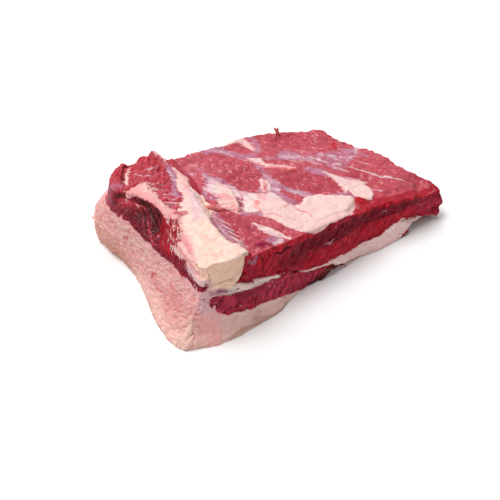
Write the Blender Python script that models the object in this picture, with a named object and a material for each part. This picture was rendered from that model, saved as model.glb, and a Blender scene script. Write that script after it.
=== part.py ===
"""Raw beef brisket, trimmed square on one long side and laid fat side down.

The whole piece is one free-form block. It is lofted from outlines at rising levels, closed by a top and a bottom,
and the layers of fat and lean are parted inside it by surfaces that run from the cut face to the back.
x runs from the thick end to the thin end, y from the cut face to the back, and z up. Sizes are in millimetres
until the last step of each mesh.
"""

import math

import bmesh
import bpy

MM = 0.001
GAP = 0.3  # kept between layers that touch

# The block
THICK_END_X = 5.0
THIN_END_X = 358.0
CUT_FACE_Y = 17.5  # foot of the cut face over most of its length
BACK_Y = 205.0  # rim of the back edge over most of its length
SLAB_TOP_Z = 78.0  # top of the flat beside the fat wedge
SLAB_FALL = 0.128  # how fast that top falls towards the thin end
WEDGE_RISE = 13.0  # how far the hard fat and the mound stand above the flat
WEDGE_SHOULDER = 13.0  # from the edge of the hard fat down to the flat, along x
WAIST_Z = 68.0  # where the fat cap meets the lean on the thick end
THIN_END_LIFT = 12.0  # clearance under the front edge of the thin end
ARCH_LIFT = 8.0  # and under the tail of the lean core

# The layers
WEDGE_DEPTH = 24.0  # the hard fat's, on the cut face
CORE_THICKNESS = 22.5  # the small lean layer between the seam and the cap
CORE_LEAST = 3.0  # its thickness at the tail
CORE_CLEARANCE = 3.0  # fat left under it where it comes lowest

# Fineness of the block and of the lean core
ALONG = 34  # spans of the front and back
ALONG_THICK_END = 11  # of these, spans between the near corner and the foot of the wedge
ACROSS = 18  # spans of the ends
LEVELS = (0.0, 0.08, 0.24, 0.42, 0.6, 0.73, 0.82, 0.91, 1.0)
WAIST_LEVEL = 0.73  # the level of the waist, where the cap's flare ends
CORE_SPANS = 15

COLOURS = {
    "lean_red": (0.33, 0.035, 0.05),
    "lean_dark": (0.20, 0.022, 0.035),
    "fat_pink": (0.72, 0.43, 0.38),
    "fat_cream": (0.83, 0.60, 0.46),
}


def mix(a, b, share):
    return a + (b - a) * share


def ramp(value, start, end):
    """0 before start, 1 after end, smooth between them. End may be the lower one."""
    share = min(1.0, max(0.0, (value - start) / (end - start)))
    return share * share * (3 - 2 * share)


def bump(value, centre, half_width):
    return math.exp(-(((value - centre) / half_width) ** 2))


# ---------------------------------------------------------------- outline of the block, by side and level


def front_y(x, level):
    """The cut face: it leans back a little, its near corner is set back and the thin end leans out."""
    foot = CUT_FACE_Y + 20 * ramp(x, 62, 6) ** 1.4
    foot += 1.5 * math.sin(x / 19) - 2 * bump(x, 118, 22) + 3 * bump(x, 165, 22)
    foot += -9 * ramp(x, 236, 272) + 5 * bump(x, 328, 18) - 4 * ramp(x, 330, 352)
    rim = 33 - 0.055 * (x - 50) - 9 * ramp(x, 262, 350)
    rim += 1.2 * math.sin(x / 13) + 3 * bump(x, 34, 14)
    return mix(foot, rim, level) + 2.2 * math.sin(math.pi * level) * bump(x, 190, 110)


def left_x(y, level):
    """The thick end: the cap flares out at the foot, and the lean is hollow between waist and rim."""
    foot = THICK_END_X + 35 * ramp(y, 58, 178) + 0.12 * max(0, y - 178) + 6 * ramp(y, 54, 34)
    waist = 34 + 4 * ramp(y, 20, 80) + 10 * ramp(y, 165, 215) + 20 * ramp(y, 212, 245)
    waist += 1.5 * math.sin(y / 11)
    rim = 34 + 23 * ramp(y, 45, 140) + 13 * ramp(y, 200, 234)
    if level < WAIST_LEVEL:
        share = level / WAIST_LEVEL
        belly = (5 * ramp(y, 120, 210) + 5 * bump(y, 228, 16)) * math.sin(math.pi * share)
        return mix(foot, waist, share**1.15) - belly
    share = (level - WAIST_LEVEL) / (1 - WAIST_LEVEL)
    hollow = 9 * math.sin(math.pi * share**0.8) * bump(y, 140, 42)
    hollow += 4 * math.sin(math.pi * share) * bump(y, 188, 8)  # crease in front of the lobe
    lobe = 8 * math.sin(math.pi * share * 0.9) * bump(y, 212, 20)
    return mix(waist, rim, share) + hollow - lobe


def right_x(y, level):
    """The thin end, cut a little askew, with its face bulging."""
    foot = THIN_END_X - 2 - 0.08 * y - 18 * ramp(y, 80, 190) + 1.5 * math.sin(y / 17)
    rim = THIN_END_X - 4 - 0.06 * y - 16 * ramp(y, 85, 190) + 1.5 * math.sin(y / 14)
    return mix(foot, rim, level) + 5 * math.sin(math.pi * level)


def back_y(x, level):
    foot = BACK_Y + 4 + 42 * ramp(x, 200, 66) - 34 * ramp(x, 250, 335) + 2 * math.sin(x / 21)
    rim = BACK_Y - 1 + 13 * ramp(x, 132, 114) + 6 * ramp(x, 112, 100) + 10 * ramp(x, 92, 80)
    rim += -32 * ramp(x, 248, 332) + 1.5 * math.sin(x / 11)
    return mix(foot, rim, level) + 5 * math.sin(math.pi * level)


def corner(side_x, side_y, x, y, level):
    """Where an end and a long side meet."""
    for _ in range(12):
        x = side_x(y, level)
        y = side_y(x, level)
    return x, y


def rounded(loop, corners):
    """Evens out a closed outline close to its corners. corners is {index: passes}."""
    count = len(loop)
    for index, passes in corners.items():
        for done in range(passes):
            reach = passes - done
            before = list(loop)
            for step in range(-reach, reach + 1):
                i = (index + step) % count
                a, b, c = before[i - 1], before[i], before[(i + 1) % count]
                loop[i] = tuple(0.25 * a[k] + 0.5 * b[k] + 0.25 * c[k] for k in (0, 1))
    return loop


def along(start, end, i):
    """The i-th place on a long side. They crowd between the thick end and the foot of the wedge."""
    foot_of_wedge = wedge_right_x(start[1]) + WEDGE_SHOULDER
    if i < ALONG_THICK_END:
        return mix(start[0], foot_of_wedge, i / ALONG_THICK_END)
    return mix(foot_of_wedge, end[0], (i - ALONG_THICK_END) / (ALONG - ALONG_THICK_END))


def outline(level):
    """The closed outline at a level, from the near corner along the cut face and round by the back."""
    near = corner(left_x, front_y, 10, 38, level)
    thin = corner(right_x, front_y, 350, 8, level)
    far = corner(right_x, back_y, 322, 174, level)
    mound = corner(left_x, back_y, 60, 240, level)
    loop = []
    for i in range(ALONG):
        x = along(near, thin, i)
        loop.append((x, front_y(x, level)))
    for i in range(ACROSS):
        y = mix(thin[1], far[1], i / ACROSS)
        loop.append((right_x(y, level), y))
    for i in range(ALONG, 0, -1):
        x = along(mound, far, i)
        loop.append((x, back_y(x, level)))
    for i in range(ACROSS):
        y = mix(mound[1], near[1], i / ACROSS)
        loop.append((left_x(y, level), y))
    corners = (0, ALONG, ALONG + ACROSS, 2 * ALONG + ACROSS)
    return rounded(loop, dict(zip(corners, (1, 1, 2, 3))))


# ---------------------------------------------------------------- heights


def wedge_right_x(y):
    """The edge of the hard fat where it drops to the flat."""
    return 86 + 34 * ramp(y, 70, 190)


def top_z(x, y):
    flat = SLAB_TOP_Z - SLAB_FALL * (x - 118) + 5 * ramp(y, 60, 200) * ramp(x, 300, 130)
    flat += 2.5 * math.sin(math.pi * ramp(y, 0, 200)) - 3 * ramp(x, 320, 356)
    flat += 1.4 * math.sin(x / 31 + y / 23) + 0.9 * math.sin(x / 14 - y / 19)
    edge = wedge_right_x(y)
    rise = WEDGE_RISE * ramp(x, edge + WEDGE_SHOULDER, edge - 5)
    rise -= 7 * ramp(x, 75, 48) * ramp(y, 140, 175) + 7 * ramp(y, 214, 246) * ramp(x, 108, 80)
    rise -= 4.5 * bump((y - 228) / 1.55, 0.77 * (x - 90), 6) * ramp(x, 106, 94)  # crease round the lobe
    rise -= 3.5 * bump(x, edge + 12, 9) * ramp(y, 230, 40)  # furrow beside the wedge
    dome = 1.5 * ramp(y, 175, 215) * bump(x, 112, 14)  # crest at the back
    slope = -0.1 * max(0, x - 40) * ramp(x, 100, 70)
    return flat + max(0, rise) + dome + slope - 4.2 * ramp(x, 110, 40) + 3.2 * ramp(y, 70, 30) * ramp(x, 70, 36)


def bottom_z(x, y):
    """Flat, but for the front edge of the thin half, which stays clear of what it lies on."""
    clear = THIN_END_LIFT * ramp(x, 292, 322) - 5 * ramp(x, 340, 358) + ARCH_LIFT * bump(x, 203, 16)
    return clear * ramp(y, 75, 24)


def under_z(x, y):
    """Underside of the flat and of the lean at the thick end: above it lean, below it fat."""
    share = x - left_x(y, WAIST_LEVEL) + 36
    z = mix(WAIST_Z, 20.3, ramp(share, 40, 186) ** 1.15)
    z += -4.5 * bump(share, 228, 22) + 2.5 * bump(share, 297, 20) - 5 * ramp(share, 308, 334)
    z += -26 * ramp(share, 333, 343) + 6 * bump(share, 44, 20)
    dip = 5 * ramp(y, 40, 62) + bump(y, 88, 16) - 4 * bump(y, 160, 22) + 5 * ramp(y, 178, 204)
    return z - dip * ramp(share, 150, 60) + 1.2 * math.sin(y / 23) * ramp(y, 40, 90)


# ---------------------------------------------------------------- the lean core and the hard fat


def seam_thickness(x):
    """The fat between the flat and the lean core."""
    return 4 + 8 * bump(x, 60, 26) + 4 * bump(x, 98, 16) + 3 * ramp(x, 186, 204)


def core_thickness(share, x):
    """Blunt at the thick end, full over the first half, then running out."""
    blunt = min(1.0, 0.08 + 5.2 * share) ** 0.3
    tail = 1 - ramp(share, 0.6, 1.1) ** 1.2
    return CORE_THICKNESS * blunt * tail + 6 * bump(x, 146, 16)


def core_section(y, grow):
    """Outline of the lean core in x and z."""
    left = left_x(y, 0.6) + 3.5 + 7 * ramp(y, 30, 60)
    right = 201 - 6 * ramp(y, 60, 200)
    upper, lower = [], []
    for i in range(CORE_SPANS + 1):
        share = i / CORE_SPANS
        x = mix(left, right, share)
        top = under_z(x, y) - seam_thickness(x)
        low = max(top - core_thickness(share, x), CORE_CLEARANCE + bottom_z(x, y))
        upper.append((x, top + grow))
        lower.append((x, min(top - CORE_LEAST, low) - grow))
    blunt_end = (right + 3 + 2 * grow, (upper[-1][1] + lower[-1][1]) / 2)
    blunt_start = (left - 2 - 2 * grow, (upper[0][1] + lower[0][1]) / 2)
    return [blunt_start] + lower + [blunt_end] + upper[::-1]


def wedge_sides(y):
    """The hard fat fills the rim near the cut face, then narrows to a strip beside the flat."""
    right = wedge_right_x(y)
    left = mix(left_x(y, 0.9) - 6, right - 17 + 10 * ramp(y, 175, 214), ramp(y, 104, 128))
    return left, right


def wedge_section(y, grow):
    """Outline of the hard fat in x and z: a round-bottomed wedge under the top surface."""
    left, right = wedge_sides(y)
    centre, half = (left + right) / 2, (right - left) / 2 + grow
    depth = WEDGE_DEPTH - 16 * ramp(y, 40, 140) + grow
    level = top_z(centre, y) - 1
    points = []
    for i in range(16):
        turn = math.tau * i / 16
        side, down = math.cos(turn), -math.sin(turn)
        reach = depth if down < 0 else 26
        squarer = 1 + 0.12 * abs(math.sin(2 * turn))
        points.append((centre + half * side * squarer, level + reach * down * squarer))
    return points


# ---------------------------------------------------------------- meshes


def make_object(name, points, faces, helper=True):
    """An object with every face in triangles, so that two cutters made alike split alike."""
    mesh = bpy.data.meshes.new(name)
    mesh.from_pydata([[c * MM for c in p] for p in points], [], faces)
    work = bmesh.new()
    work.from_mesh(mesh)
    bmesh.ops.triangulate(work, faces=work.faces[:], quad_method="FIXED")
    bmesh.ops.recalc_face_normals(work, faces=work.faces[:])
    work.to_mesh(mesh)
    work.free()
    made = bpy.data.objects.new(name, mesh)
    bpy.context.scene.collection.objects.link(made)
    if helper:
        made.hide_render = True
        made.display_type = "WIRE"
    return made


def coons(loop):
    """Rows of points that fill a closed outline, from the cut face back."""
    front = loop[: ALONG + 1]
    right = loop[ALONG : ALONG + ACROSS + 1]
    back = loop[ALONG + ACROSS : 2 * ALONG + ACROSS + 1][::-1]
    left = (loop[2 * ALONG + ACROSS :] + loop[:1])[::-1]
    rows = []
    for j in range(ACROSS + 1):
        v = j / ACROSS
        row = []
        for i in range(ALONG + 1):
            u = 0.5 * ((front[i][0] - front[0][0]) / (front[-1][0] - front[0][0]))
            u += 0.5 * ((back[i][0] - back[0][0]) / (back[-1][0] - back[0][0]))
            point = []
            for k in (0, 1):
                sides = mix(front[i][k], back[i][k], v) + mix(left[j][k], right[j][k], u)
                flat = mix(mix(front[0][k], front[-1][k], u), mix(back[0][k], back[-1][k], u), v)
                point.append(sides - flat)
            row.append(tuple(point))
        rows.append(row if j in (0, ACROSS) else lined_up(row))
    return rows


def lined_up(row):
    """Slides a row's points along x, so that one column of points runs along the foot of the wedge."""
    last = ALONG_THICK_END
    slide = wedge_right_x(row[last][1]) + WEDGE_SHOULDER - row[last][0]
    return [(x + slide * min(i / last, (ALONG - i) / (ALONG - last)), y) for i, (x, y) in enumerate(row)]


def block():
    """The closed block as points and faces."""
    around = 2 * (ALONG + ACROSS)
    foot, rim = outline(0.0), outline(1.0)
    points, faces = [], []
    for level in LEVELS:
        for i, (x, y) in enumerate(outline(level)):
            low, high = bottom_z(*foot[i]), top_z(*rim[i])
            points.append((x, y, mix(low, high, level)))
    for ring in range(len(LEVELS) - 1):
        for i in range(around):
            a, b = ring * around + i, ring * around + (i + 1) % around
            faces.append((a, b, b + around, a + around))
    for loop, first, height, flip in ((foot, 0, bottom_z, True), (rim, (len(LEVELS) - 1) * around, top_z, False)):
        rows = coons(loop)
        index = {}
        for j in range(ACROSS + 1):
            for i in range(ALONG + 1):
                index[i, j] = border_index(i, j, first)
                if index[i, j] is None:
                    index[i, j] = len(points)
                    points.append((*rows[j][i], height(*rows[j][i])))
        for j in range(ACROSS):
            for i in range(ALONG):
                quad = (index[i, j], index[i + 1, j], index[i + 1, j + 1], index[i, j + 1])
                faces.append(quad[::-1] if flip else quad)
    return points, faces


def border_index(i, j, first):
    """The outline's point at a place of the grid, or None inside it."""
    around = 2 * (ALONG + ACROSS)
    if j == 0:
        return first + i
    if i == ALONG:
        return first + ALONG + j
    if j == ACROSS:
        return first + ALONG + ACROSS + (ALONG - i)
    if i == 0:
        return first + (2 * ALONG + ACROSS + (ACROSS - j)) % around
    return None


def swept(name, sections):
    """A closed body through sections with the same number of points, from the cut face back."""
    size = len(sections[0])
    points = [p for section in sections for p in section]
    faces = []
    for ring in range(len(sections) - 1):
        for i in range(size):
            a, b = ring * size + i, ring * size + (i + 1) % size
            faces.append((a, b, b + size, a + size))
    last = (len(sections) - 1) * size
    faces.append(tuple(range(size))[::-1])
    faces.append(tuple(range(last, last + size)))
    return make_object(name, points, faces)


def stations(start, end, count):
    return [mix(start, end, i / count) for i in range(count + 1)]


def under_cutter(name, grow):
    """Everything below the underside of the lean."""
    sections = []
    for y in stations(-20, 280, 12):
        top = [(x, y, under_z(x, min(max(y, 10), 250)) + grow) for x in stations(-30, 390, 36)]
        sections.append([(-30, y, -40)] + top + [(390, y, -40)])
    return swept(name, sections)


def core_cutter(name, grow):
    sections = []
    for y in stations(-5, 275, 10):
        sections.append([(x, y, z) for x, z in core_section(min(max(y, 20), 245), grow)])
    return swept(name, sections)


def wedge_cutter(name, grow):
    sections = []
    for y in stations(-5, 275, 16):
        sections.append([(x, y, z) for x, z in wedge_section(min(max(y, 20), 238), grow)])
    return swept(name, sections)


def thick_end_cutter(name, grow):
    """Everything on the thick end's side of the seam that hangs from the hard fat."""
    sections = []
    for y in stations(-20, 290, 14):
        x = sum(wedge_sides(min(max(y, 20), 240))) / 2 + grow
        sections.append([(-60, y, -60), (x + 10, y, -60), (x - 6, y, 150), (-60, y, 150)])
    return swept(name, sections)


# ---------------------------------------------------------------- the nodes


def material(name):
    made = bpy.data.materials.new(name)
    made.use_nodes = True
    shader = made.node_tree.nodes["Principled BSDF"]
    shader.inputs["Base Color"].default_value = (*COLOURS[name], 1)
    shader.inputs["Roughness"].default_value = 0.45 if name.startswith("lean") else 0.55
    shader.inputs["Metallic"].default_value = 0.0
    return made


def layer(name, look, shape, cuts):
    """One layer: the block, with Booleans that keep or take away. cuts is [(operation, cutter)]."""
    made = make_object(name, *shape, helper=False)
    made.data.materials.append(look)
    made.data.shade_smooth()
    made.data.set_sharp_from_angle(angle=math.radians(35))
    for operation, cutter in cuts:
        modifier = made.modifiers.new(f"{operation.lower()} {cutter.name}", "BOOLEAN")
        modifier.operation = operation
        modifier.object = cutter
        modifier.solver = "EXACT"
    return made


def main():
    for old in list(bpy.data.objects):
        bpy.data.objects.remove(old)

    points, faces = block()
    low = [min(p[k] for p in points) for k in range(3)]
    high = [max(p[k] for p in points) for k in range(3)]
    shift = (-(low[0] + high[0]) / 2 * MM, -(low[1] + high[1]) / 2 * MM, -low[2] * MM)

    looks = {name: material(name) for name in COLOURS}
    under, under_more = under_cutter("under_lean", 0), under_cutter("under_lean_more", GAP)
    core, core_more = core_cutter("core", 0), core_cutter("core_more", GAP)
    wedge, wedge_more = wedge_cutter("wedge", 0), wedge_cutter("wedge_more", GAP)
    end, end_more = thick_end_cutter("thick_end", 0), thick_end_cutter("thick_end_more", GAP)

    shape = (points, faces)
    keep, take = "INTERSECT", "DIFFERENCE"
    layer("fat_cap", looks["fat_pink"], shape, [(keep, under), (take, core_more)])
    layer("lean_core", looks["lean_red"], shape, [(keep, core)])
    layer("hard_fat", looks["fat_cream"], shape, [(keep, wedge), (take, under_more)])
    layer("end_lean", looks["lean_dark"], shape, [(take, under_more), (take, wedge_more), (keep, end)])
    layer("flat_lean", looks["lean_red"], shape, [(take, under_more), (take, wedge_more), (take, end_more)])
    for made in bpy.data.objects:
        made.location = shift


main()
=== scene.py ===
import math
from functools import partial

import bmesh
import bpy
import numpy as np
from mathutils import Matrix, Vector
from mathutils.bvhtree import BVHTree


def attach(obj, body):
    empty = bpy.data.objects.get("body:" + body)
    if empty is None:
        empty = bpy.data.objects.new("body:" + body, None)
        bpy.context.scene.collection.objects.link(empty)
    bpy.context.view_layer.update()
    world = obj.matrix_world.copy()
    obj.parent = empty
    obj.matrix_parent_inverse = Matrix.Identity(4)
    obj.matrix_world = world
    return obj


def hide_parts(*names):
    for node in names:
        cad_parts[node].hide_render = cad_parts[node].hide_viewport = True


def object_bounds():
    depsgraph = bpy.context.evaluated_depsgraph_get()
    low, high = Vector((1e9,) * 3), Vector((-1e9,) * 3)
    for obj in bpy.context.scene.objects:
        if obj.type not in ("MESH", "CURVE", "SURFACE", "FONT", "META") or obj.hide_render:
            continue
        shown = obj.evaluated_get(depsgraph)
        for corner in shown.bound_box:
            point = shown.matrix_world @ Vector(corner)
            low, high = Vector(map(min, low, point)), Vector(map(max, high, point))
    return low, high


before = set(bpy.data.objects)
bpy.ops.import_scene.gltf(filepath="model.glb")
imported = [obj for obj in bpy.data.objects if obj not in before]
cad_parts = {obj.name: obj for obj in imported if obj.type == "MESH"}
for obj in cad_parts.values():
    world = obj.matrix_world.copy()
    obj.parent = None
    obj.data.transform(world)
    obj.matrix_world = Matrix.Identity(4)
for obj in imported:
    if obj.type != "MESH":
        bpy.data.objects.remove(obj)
cadLow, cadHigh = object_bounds()
print("frame loaded")

# Every place below is in millimetres from one origin: x runs from the thick end to the thin end, y from
# the cut face to the back, and z up. A plan view is (x, y), the cut face (x, z) and the thick end (y, z).
origin = np.array(cadLow) * 1000 - (5.1, 7.3, 0)


def toMetres(points):
    return (np.asarray(points, float) + origin) / 1000


def toMillimetres(points):
    return np.asarray(points, float) * 1000 - origin


# smooth noise and ramps on arrays


def ramp(value, start, end):
    share = np.clip((value - start) / (end - start), 0, 1)
    return share * share * (3 - 2 * share)


def lattice(cell, seed):
    n = cell[:, 0] * 73856093 ^ cell[:, 1] * 19349663 ^ cell[:, 2] * 83492791 ^ (seed + 1) * 2654435761
    n = (n & 0xFFFFFFFF) * 1274126177 & 0xFFFFFFFF
    n = (n ^ n >> 15) * 2246822519 & 0xFFFFFFFF
    return n ^ n >> 13


def lumps(points, size, seed=0, octaves=1):
    # gradient noise from about -1 to 1; size is the width of a lump, one number or one for x, y and z
    total, share = np.zeros(len(points)), 1.0
    for octave in range(octaves):
        place = points / (np.asarray(size, float) / 2**octave) + 13.7 * (seed + octave)
        cell = np.floor(place).astype(np.int64)
        inside = place - cell
        ease = inside**3 * (inside * (inside * 6 - 15) + 10)
        for corner in np.ndindex(2, 2, 2):
            n = lattice(cell + corner, seed + octave)
            slope = np.stack([(n >> bits & 255) / 127.5 - 1 for bits in (0, 8, 16)], axis=1)
            weight = np.where(corner, ease, 1 - ease).prod(axis=1)
            total += share * weight * ((inside - corner) * slope).sum(axis=1)
        share *= 0.5
    return 2.4 * total


def turned(points, along, width, length, seed=0, octaves=1):
    # noise drawn out along a direction, as fibres are
    along = np.array(along, float) / np.linalg.norm(along)
    run = points @ along
    rest = points - run[:, None] * along
    return lumps(rest + run[:, None] * along * (width / length), width, seed, octaves)


def bundles(points, along, width, length, seed=0):
    # rounded strands side by side with sharp furrows between them, from about -0.6 to 0.4
    return 0.4 - np.exp(-3.2 * np.abs(turned(points, along, width, length, seed, 2)))


# outlines and paths


def smoothPath(points, closed=False, parts=4):
    points = np.array(points, float)
    if closed:
        points = np.vstack([points[-1:], points, points[:2]])
    else:
        points = np.vstack([2 * points[0] - points[1], points, 2 * points[-1] - points[-2]])
    a, b, c, d = points[:-3, None], points[1:-2, None], points[2:-1, None], points[3:, None]
    t = np.arange(parts)[None, :, None] / parts
    curve = b + 0.5 * t * (c - a + t * (2 * a - 5 * b + 4 * c - d + t * (3 * (b - c) + d - a)))
    curve = curve.reshape(-1, points.shape[1])
    return curve if closed else np.vstack([curve, points[-2]])


def nearest(spots, path):
    # how far each spot is from a path, and how far along the path that is, from 0 to 1
    best, share = np.full(len(spots), 1e9), np.zeros(len(spots))
    for i, (a, b) in enumerate(zip(path[:-1], path[1:])):
        run = b - a
        t = np.clip((spots - a) @ run / (run @ run + 1e-9), 0, 1)
        away = np.linalg.norm(spots - a - t[:, None] * run, axis=1)
        closer = away < best
        best[closer] = away[closer]
        share[closer] = (i + t[closer]) / (len(path) - 1)
    return best, share


def within(spots, loop):
    x, y = spots.T
    found = np.zeros(len(spots), bool)
    for (ax, ay), (bx, by) in zip(loop, np.roll(loop, -1, axis=0)):
        crosses = (ay > y) != (by > y)
        found ^= crosses & (x < ax + (y - ay) * (bx - ax) / (by - ay + 1e-12))
    return found


farOut = -12.0  # stands for anything further outside a mark than this


def depthInPatch(spots, outline):
    # millimetres inside a closed outline, below 0 outside it
    loop = smoothPath(outline, closed=True)
    depth = np.full(len(spots), farOut)
    close = ((spots > loop.min(0) + farOut) & (spots < loop.max(0) - farOut)).all(axis=1)
    away, _ = nearest(spots[close], np.vstack([loop, loop[:1]]))
    depth[close] = np.where(within(spots[close], loop), away, -away)
    return depth


def depthInStreak(spots, path, widths):
    # the same for a stroke along a path; widths are given from its start to its end
    path = smoothPath(path)
    depth = np.full(len(spots), farOut)
    reach = max(widths) / 2 - farOut
    close = ((spots > path.min(0) - reach) & (spots < path.max(0) + reach)).all(axis=1)
    away, share = nearest(spots[close], path)
    depth[close] = np.interp(share, np.linspace(0, 1, len(widths)), widths) / 2 - away
    return depth


# colours, as they should look in the light from above


def tone(red, green, blue):
    value = np.array((red, green, blue), float) / 255
    return np.where(value < 0.04045, value / 12.92, ((value + 0.055) / 1.055) ** 2.4)


tones = {
    "lean": tone(193, 80, 93),
    "leanDeep": tone(180, 64, 80),
    "leanLight": tone(196, 90, 102),
    "leanBright": tone(190, 26, 40),
    # lean painted dark, as shade in creases, gaps and under overhangs
    "leanDark": tone(104, 18, 30),
    "leanPurple": tone(140, 14, 56),
    "mound": tone(184, 58, 72),
    "cut": tone(178, 28, 50),
    "cutDark": tone(118, 8, 30),
    "cutRed": tone(190, 30, 50),
    "cutPink": tone(176, 46, 72),
    "cutPurple": tone(84, 34, 86),
    "lowLean": tone(184, 52, 76),
    # painted shade of the deep hollow at the thick end
    "hollow": tone(84, 12, 22),
    # mauve of the lean itself, and a painted sheen on the round lobe
    "mauve": tone(158, 86, 104),
    "mauveRed": tone(134, 44, 56),
    # brown of dried meat, and painted shade at the foot and beside the lobe
    "brown": tone(74, 34, 22),
    "lavender": tone(186, 120, 146),
    "filmPale": tone(214, 176, 188),
    "filmWhite": tone(222, 194, 198),
    "white": tone(226, 190, 188),
    "whitePink": tone(231, 195, 190),
    "cream": tone(242, 206, 190),
    "creamCut": tone(244, 203, 178),
    "greyFat": tone(216, 192, 186),
    "seamCream": tone(234, 206, 196),
    "pinkPale": tone(232, 184, 178),
    "pink": tone(228, 158, 158),
    "salmon": tone(226, 124, 124),
    "rose": tone(224, 140, 144),
    "capPink": tone(222, 160, 156),
    "capGrey": tone(216, 170, 164),
    "capCream": tone(240, 194, 182),
    "capBrown": tone(200, 140, 118),
    "capRed": tone(200, 78, 82),
    "capCut": tone(242, 206, 194),
    "edgeRed": tone(168, 26, 44),
    "capCorner": tone(246, 176, 172),
    "netRed": tone(196, 74, 84),
    "islet": tone(190, 92, 108),
    "wedgeRed": tone(136, 26, 48),
    "capEdge": tone(176, 130, 104),
    "bandWhite": tone(246, 210, 205),
    "bandGrey": tone(230, 208, 200),
    "purple": tone(154, 84, 108),
}


# marks on the surface

topGrain = (0.5, -0.87, 0.0)  # the way the fibres run on the top
cutGrain = (0.66, 0.0, 0.75)  # on the cut face
endGrain = (0.1, 0.35, 0.93)  # and at the thick end


def mark(kind, tone, path, widths=None, **more):
    # a closed outline or, where widths are given, a stroke along a path
    return dict(kind=kind, tone=tone, path=path, widths=widths, **more)


# each kind of mark with its usual softness of edge in millimetres and its usual strength
tint = partial(mark, "tint", soft=4, amount=1)  # colour of the lean
film = partial(mark, "film", soft=5, amount=0.6)  # silverskin over the lean
bare = partial(mark, "bare", None, soft=3, amount=1)  # a gap in silverskin
fat = partial(mark, "fat", soft=2, amount=1)  # fat in place of lean
lean = partial(mark, "lean", soft=4, amount=1)  # lean in place of fat
fatTint = partial(mark, "fatTint", soft=3, amount=1)  # colour of the fat
crease = partial(mark, "crease", soft=2, amount=1)  # a fold with a colour: a dark one is painted shade in the fold, another the fold's own colour
form = partial(mark, "form", None, soft=2, amount=1)  # the surface out or in
lift = partial(mark, "lift", None)  # the surface up or down


class Marks:
    # what is painted on a piece's vertices: how deep in fat each is, how much silverskin, tints and relief
    def __init__(self, points, normals, startFat):
        self.points, self.normals = points, normals
        count = len(points)
        self.fat = np.full(count, float(startFat))
        self.film = np.zeros(count)
        self.leanTone = np.tile(tones["lean"], (count, 1))
        self.filmTone = np.tile(tones["lavender"], (count, 1))
        self.fatTone = np.tile(tones["white"], (count, 1))
        self.rise, self.form, self.lift = np.zeros((3, count))
        wobble = np.stack([lumps(points, 9, seed, 3) for seed in (3, 4, 5)], axis=1)
        self.streaks = turned(points, topGrain, 2.4, 15, 6, 2) * ramp(normals[:, 2], 0.5, 0.8)
        self.wavy = points + 0.9 * wobble + 0.9 * self.streaks[:, None] * np.array(topGrain)

    def look(self, view):
        # the flat places and the weight of one view
        axes, facing = {
            "top": ((0, 1), self.normals[:, 2]),
            "front": ((0, 2), -self.normals[:, 1]),
            "end": ((1, 2), -self.normals[:, 0]),
            "thin": ((1, 2), self.normals[:, 0]),
            "back": ((0, 2), self.normals[:, 1]),
        }[view]
        self.weight = ramp(facing, 0.25, 0.5)
        self.flat, self.calm = self.wavy[:, axes], self.points[:, axes]
        return self

    def put(self, mark):
        spots = self.calm if mark.get("steady") else self.flat
        if mark["widths"] is None:
            depth = depthInPatch(spots, mark["path"])
        else:
            depth = depthInStreak(spots, mark["path"], mark["widths"])
        kind, share = mark["kind"], self.weight
        if kind == "lift":
            # a whole corner or edge goes up or down, less and less towards its foot
            near = ramp(depth, -mark["edge"] / 2, mark["edge"] / 2)
            self.lift += mark["rise"] * near * ramp(self.points[:, 2], *mark["between"])
            return
        # marks that end at a height, at a distance from the cut face or from the thick end
        for axis, limit, half in ((2, "above", 2), (0, "past", 1), (1, "beyond", 1.5)):
            if limit in mark:
                share = share * ramp(self.points[:, axis], mark[limit] - half, mark[limit] + half)
        soft = mark["soft"]
        strands = turned(self.points, mark["grain"], 2.6, 12, 8, 3) if "grain" in mark else self.streaks
        depth = depth + mark.get("fray", 0.35 * soft if soft > 3 else 0) * strands
        cover = share * ramp(depth, -soft / 2, soft / 2) * mark["amount"]
        if mark.get("broken"):
            cover *= ramp(turned(self.points, mark["grain"], 2.2, 16, 41, 2), -0.2, 0.8)
        if kind == "fat":
            inFat = depth * mark.get("sharp", 1.0)  # a low sharpness thins the fat out towards its edge
            inFat = inFat * share + farOut * (1 - share)
            self.fat = np.where(share > 0, np.maximum(self.fat, inFat), self.fat)
            self.dye(self.fatTone, mark, share * ramp(depth, -2.5, 0.5))
        elif kind == "lean":
            inFat = -depth * share - farOut * (1 - share)
            self.fat = np.where(share > 0, np.minimum(self.fat, inFat), self.fat)
            self.film *= 1 - cover
            self.dye(self.leanTone, mark, cover)
        elif kind == "film":
            self.film = 1 - (1 - self.film) * (1 - cover)
            self.dye(self.filmTone, mark, cover / (self.film + 1e-6))
        elif kind == "bare":
            self.film *= 1 - cover
        elif kind == "tint":
            self.dye(self.leanTone, mark, cover)
        elif kind == "fatTint":
            self.dye(self.fatTone, mark, cover)
        elif kind == "crease":
            for target in (self.leanTone, self.fatTone, self.filmTone):
                self.dye(target, mark, cover)
        if kind == "form":
            self.form += mark["rise"] * share * ramp(depth, -mark["edge"] / 2, mark["edge"] / 2)
        elif "rise" in mark:
            self.rise += mark["rise"] * share * ramp(depth, -0.6, mark.get("edge", 4.0))

    def dye(self, target, mark, cover):
        target += (tones[mark["tone"]] - target) * cover[:, None]


# a look made of shader nodes


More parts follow.
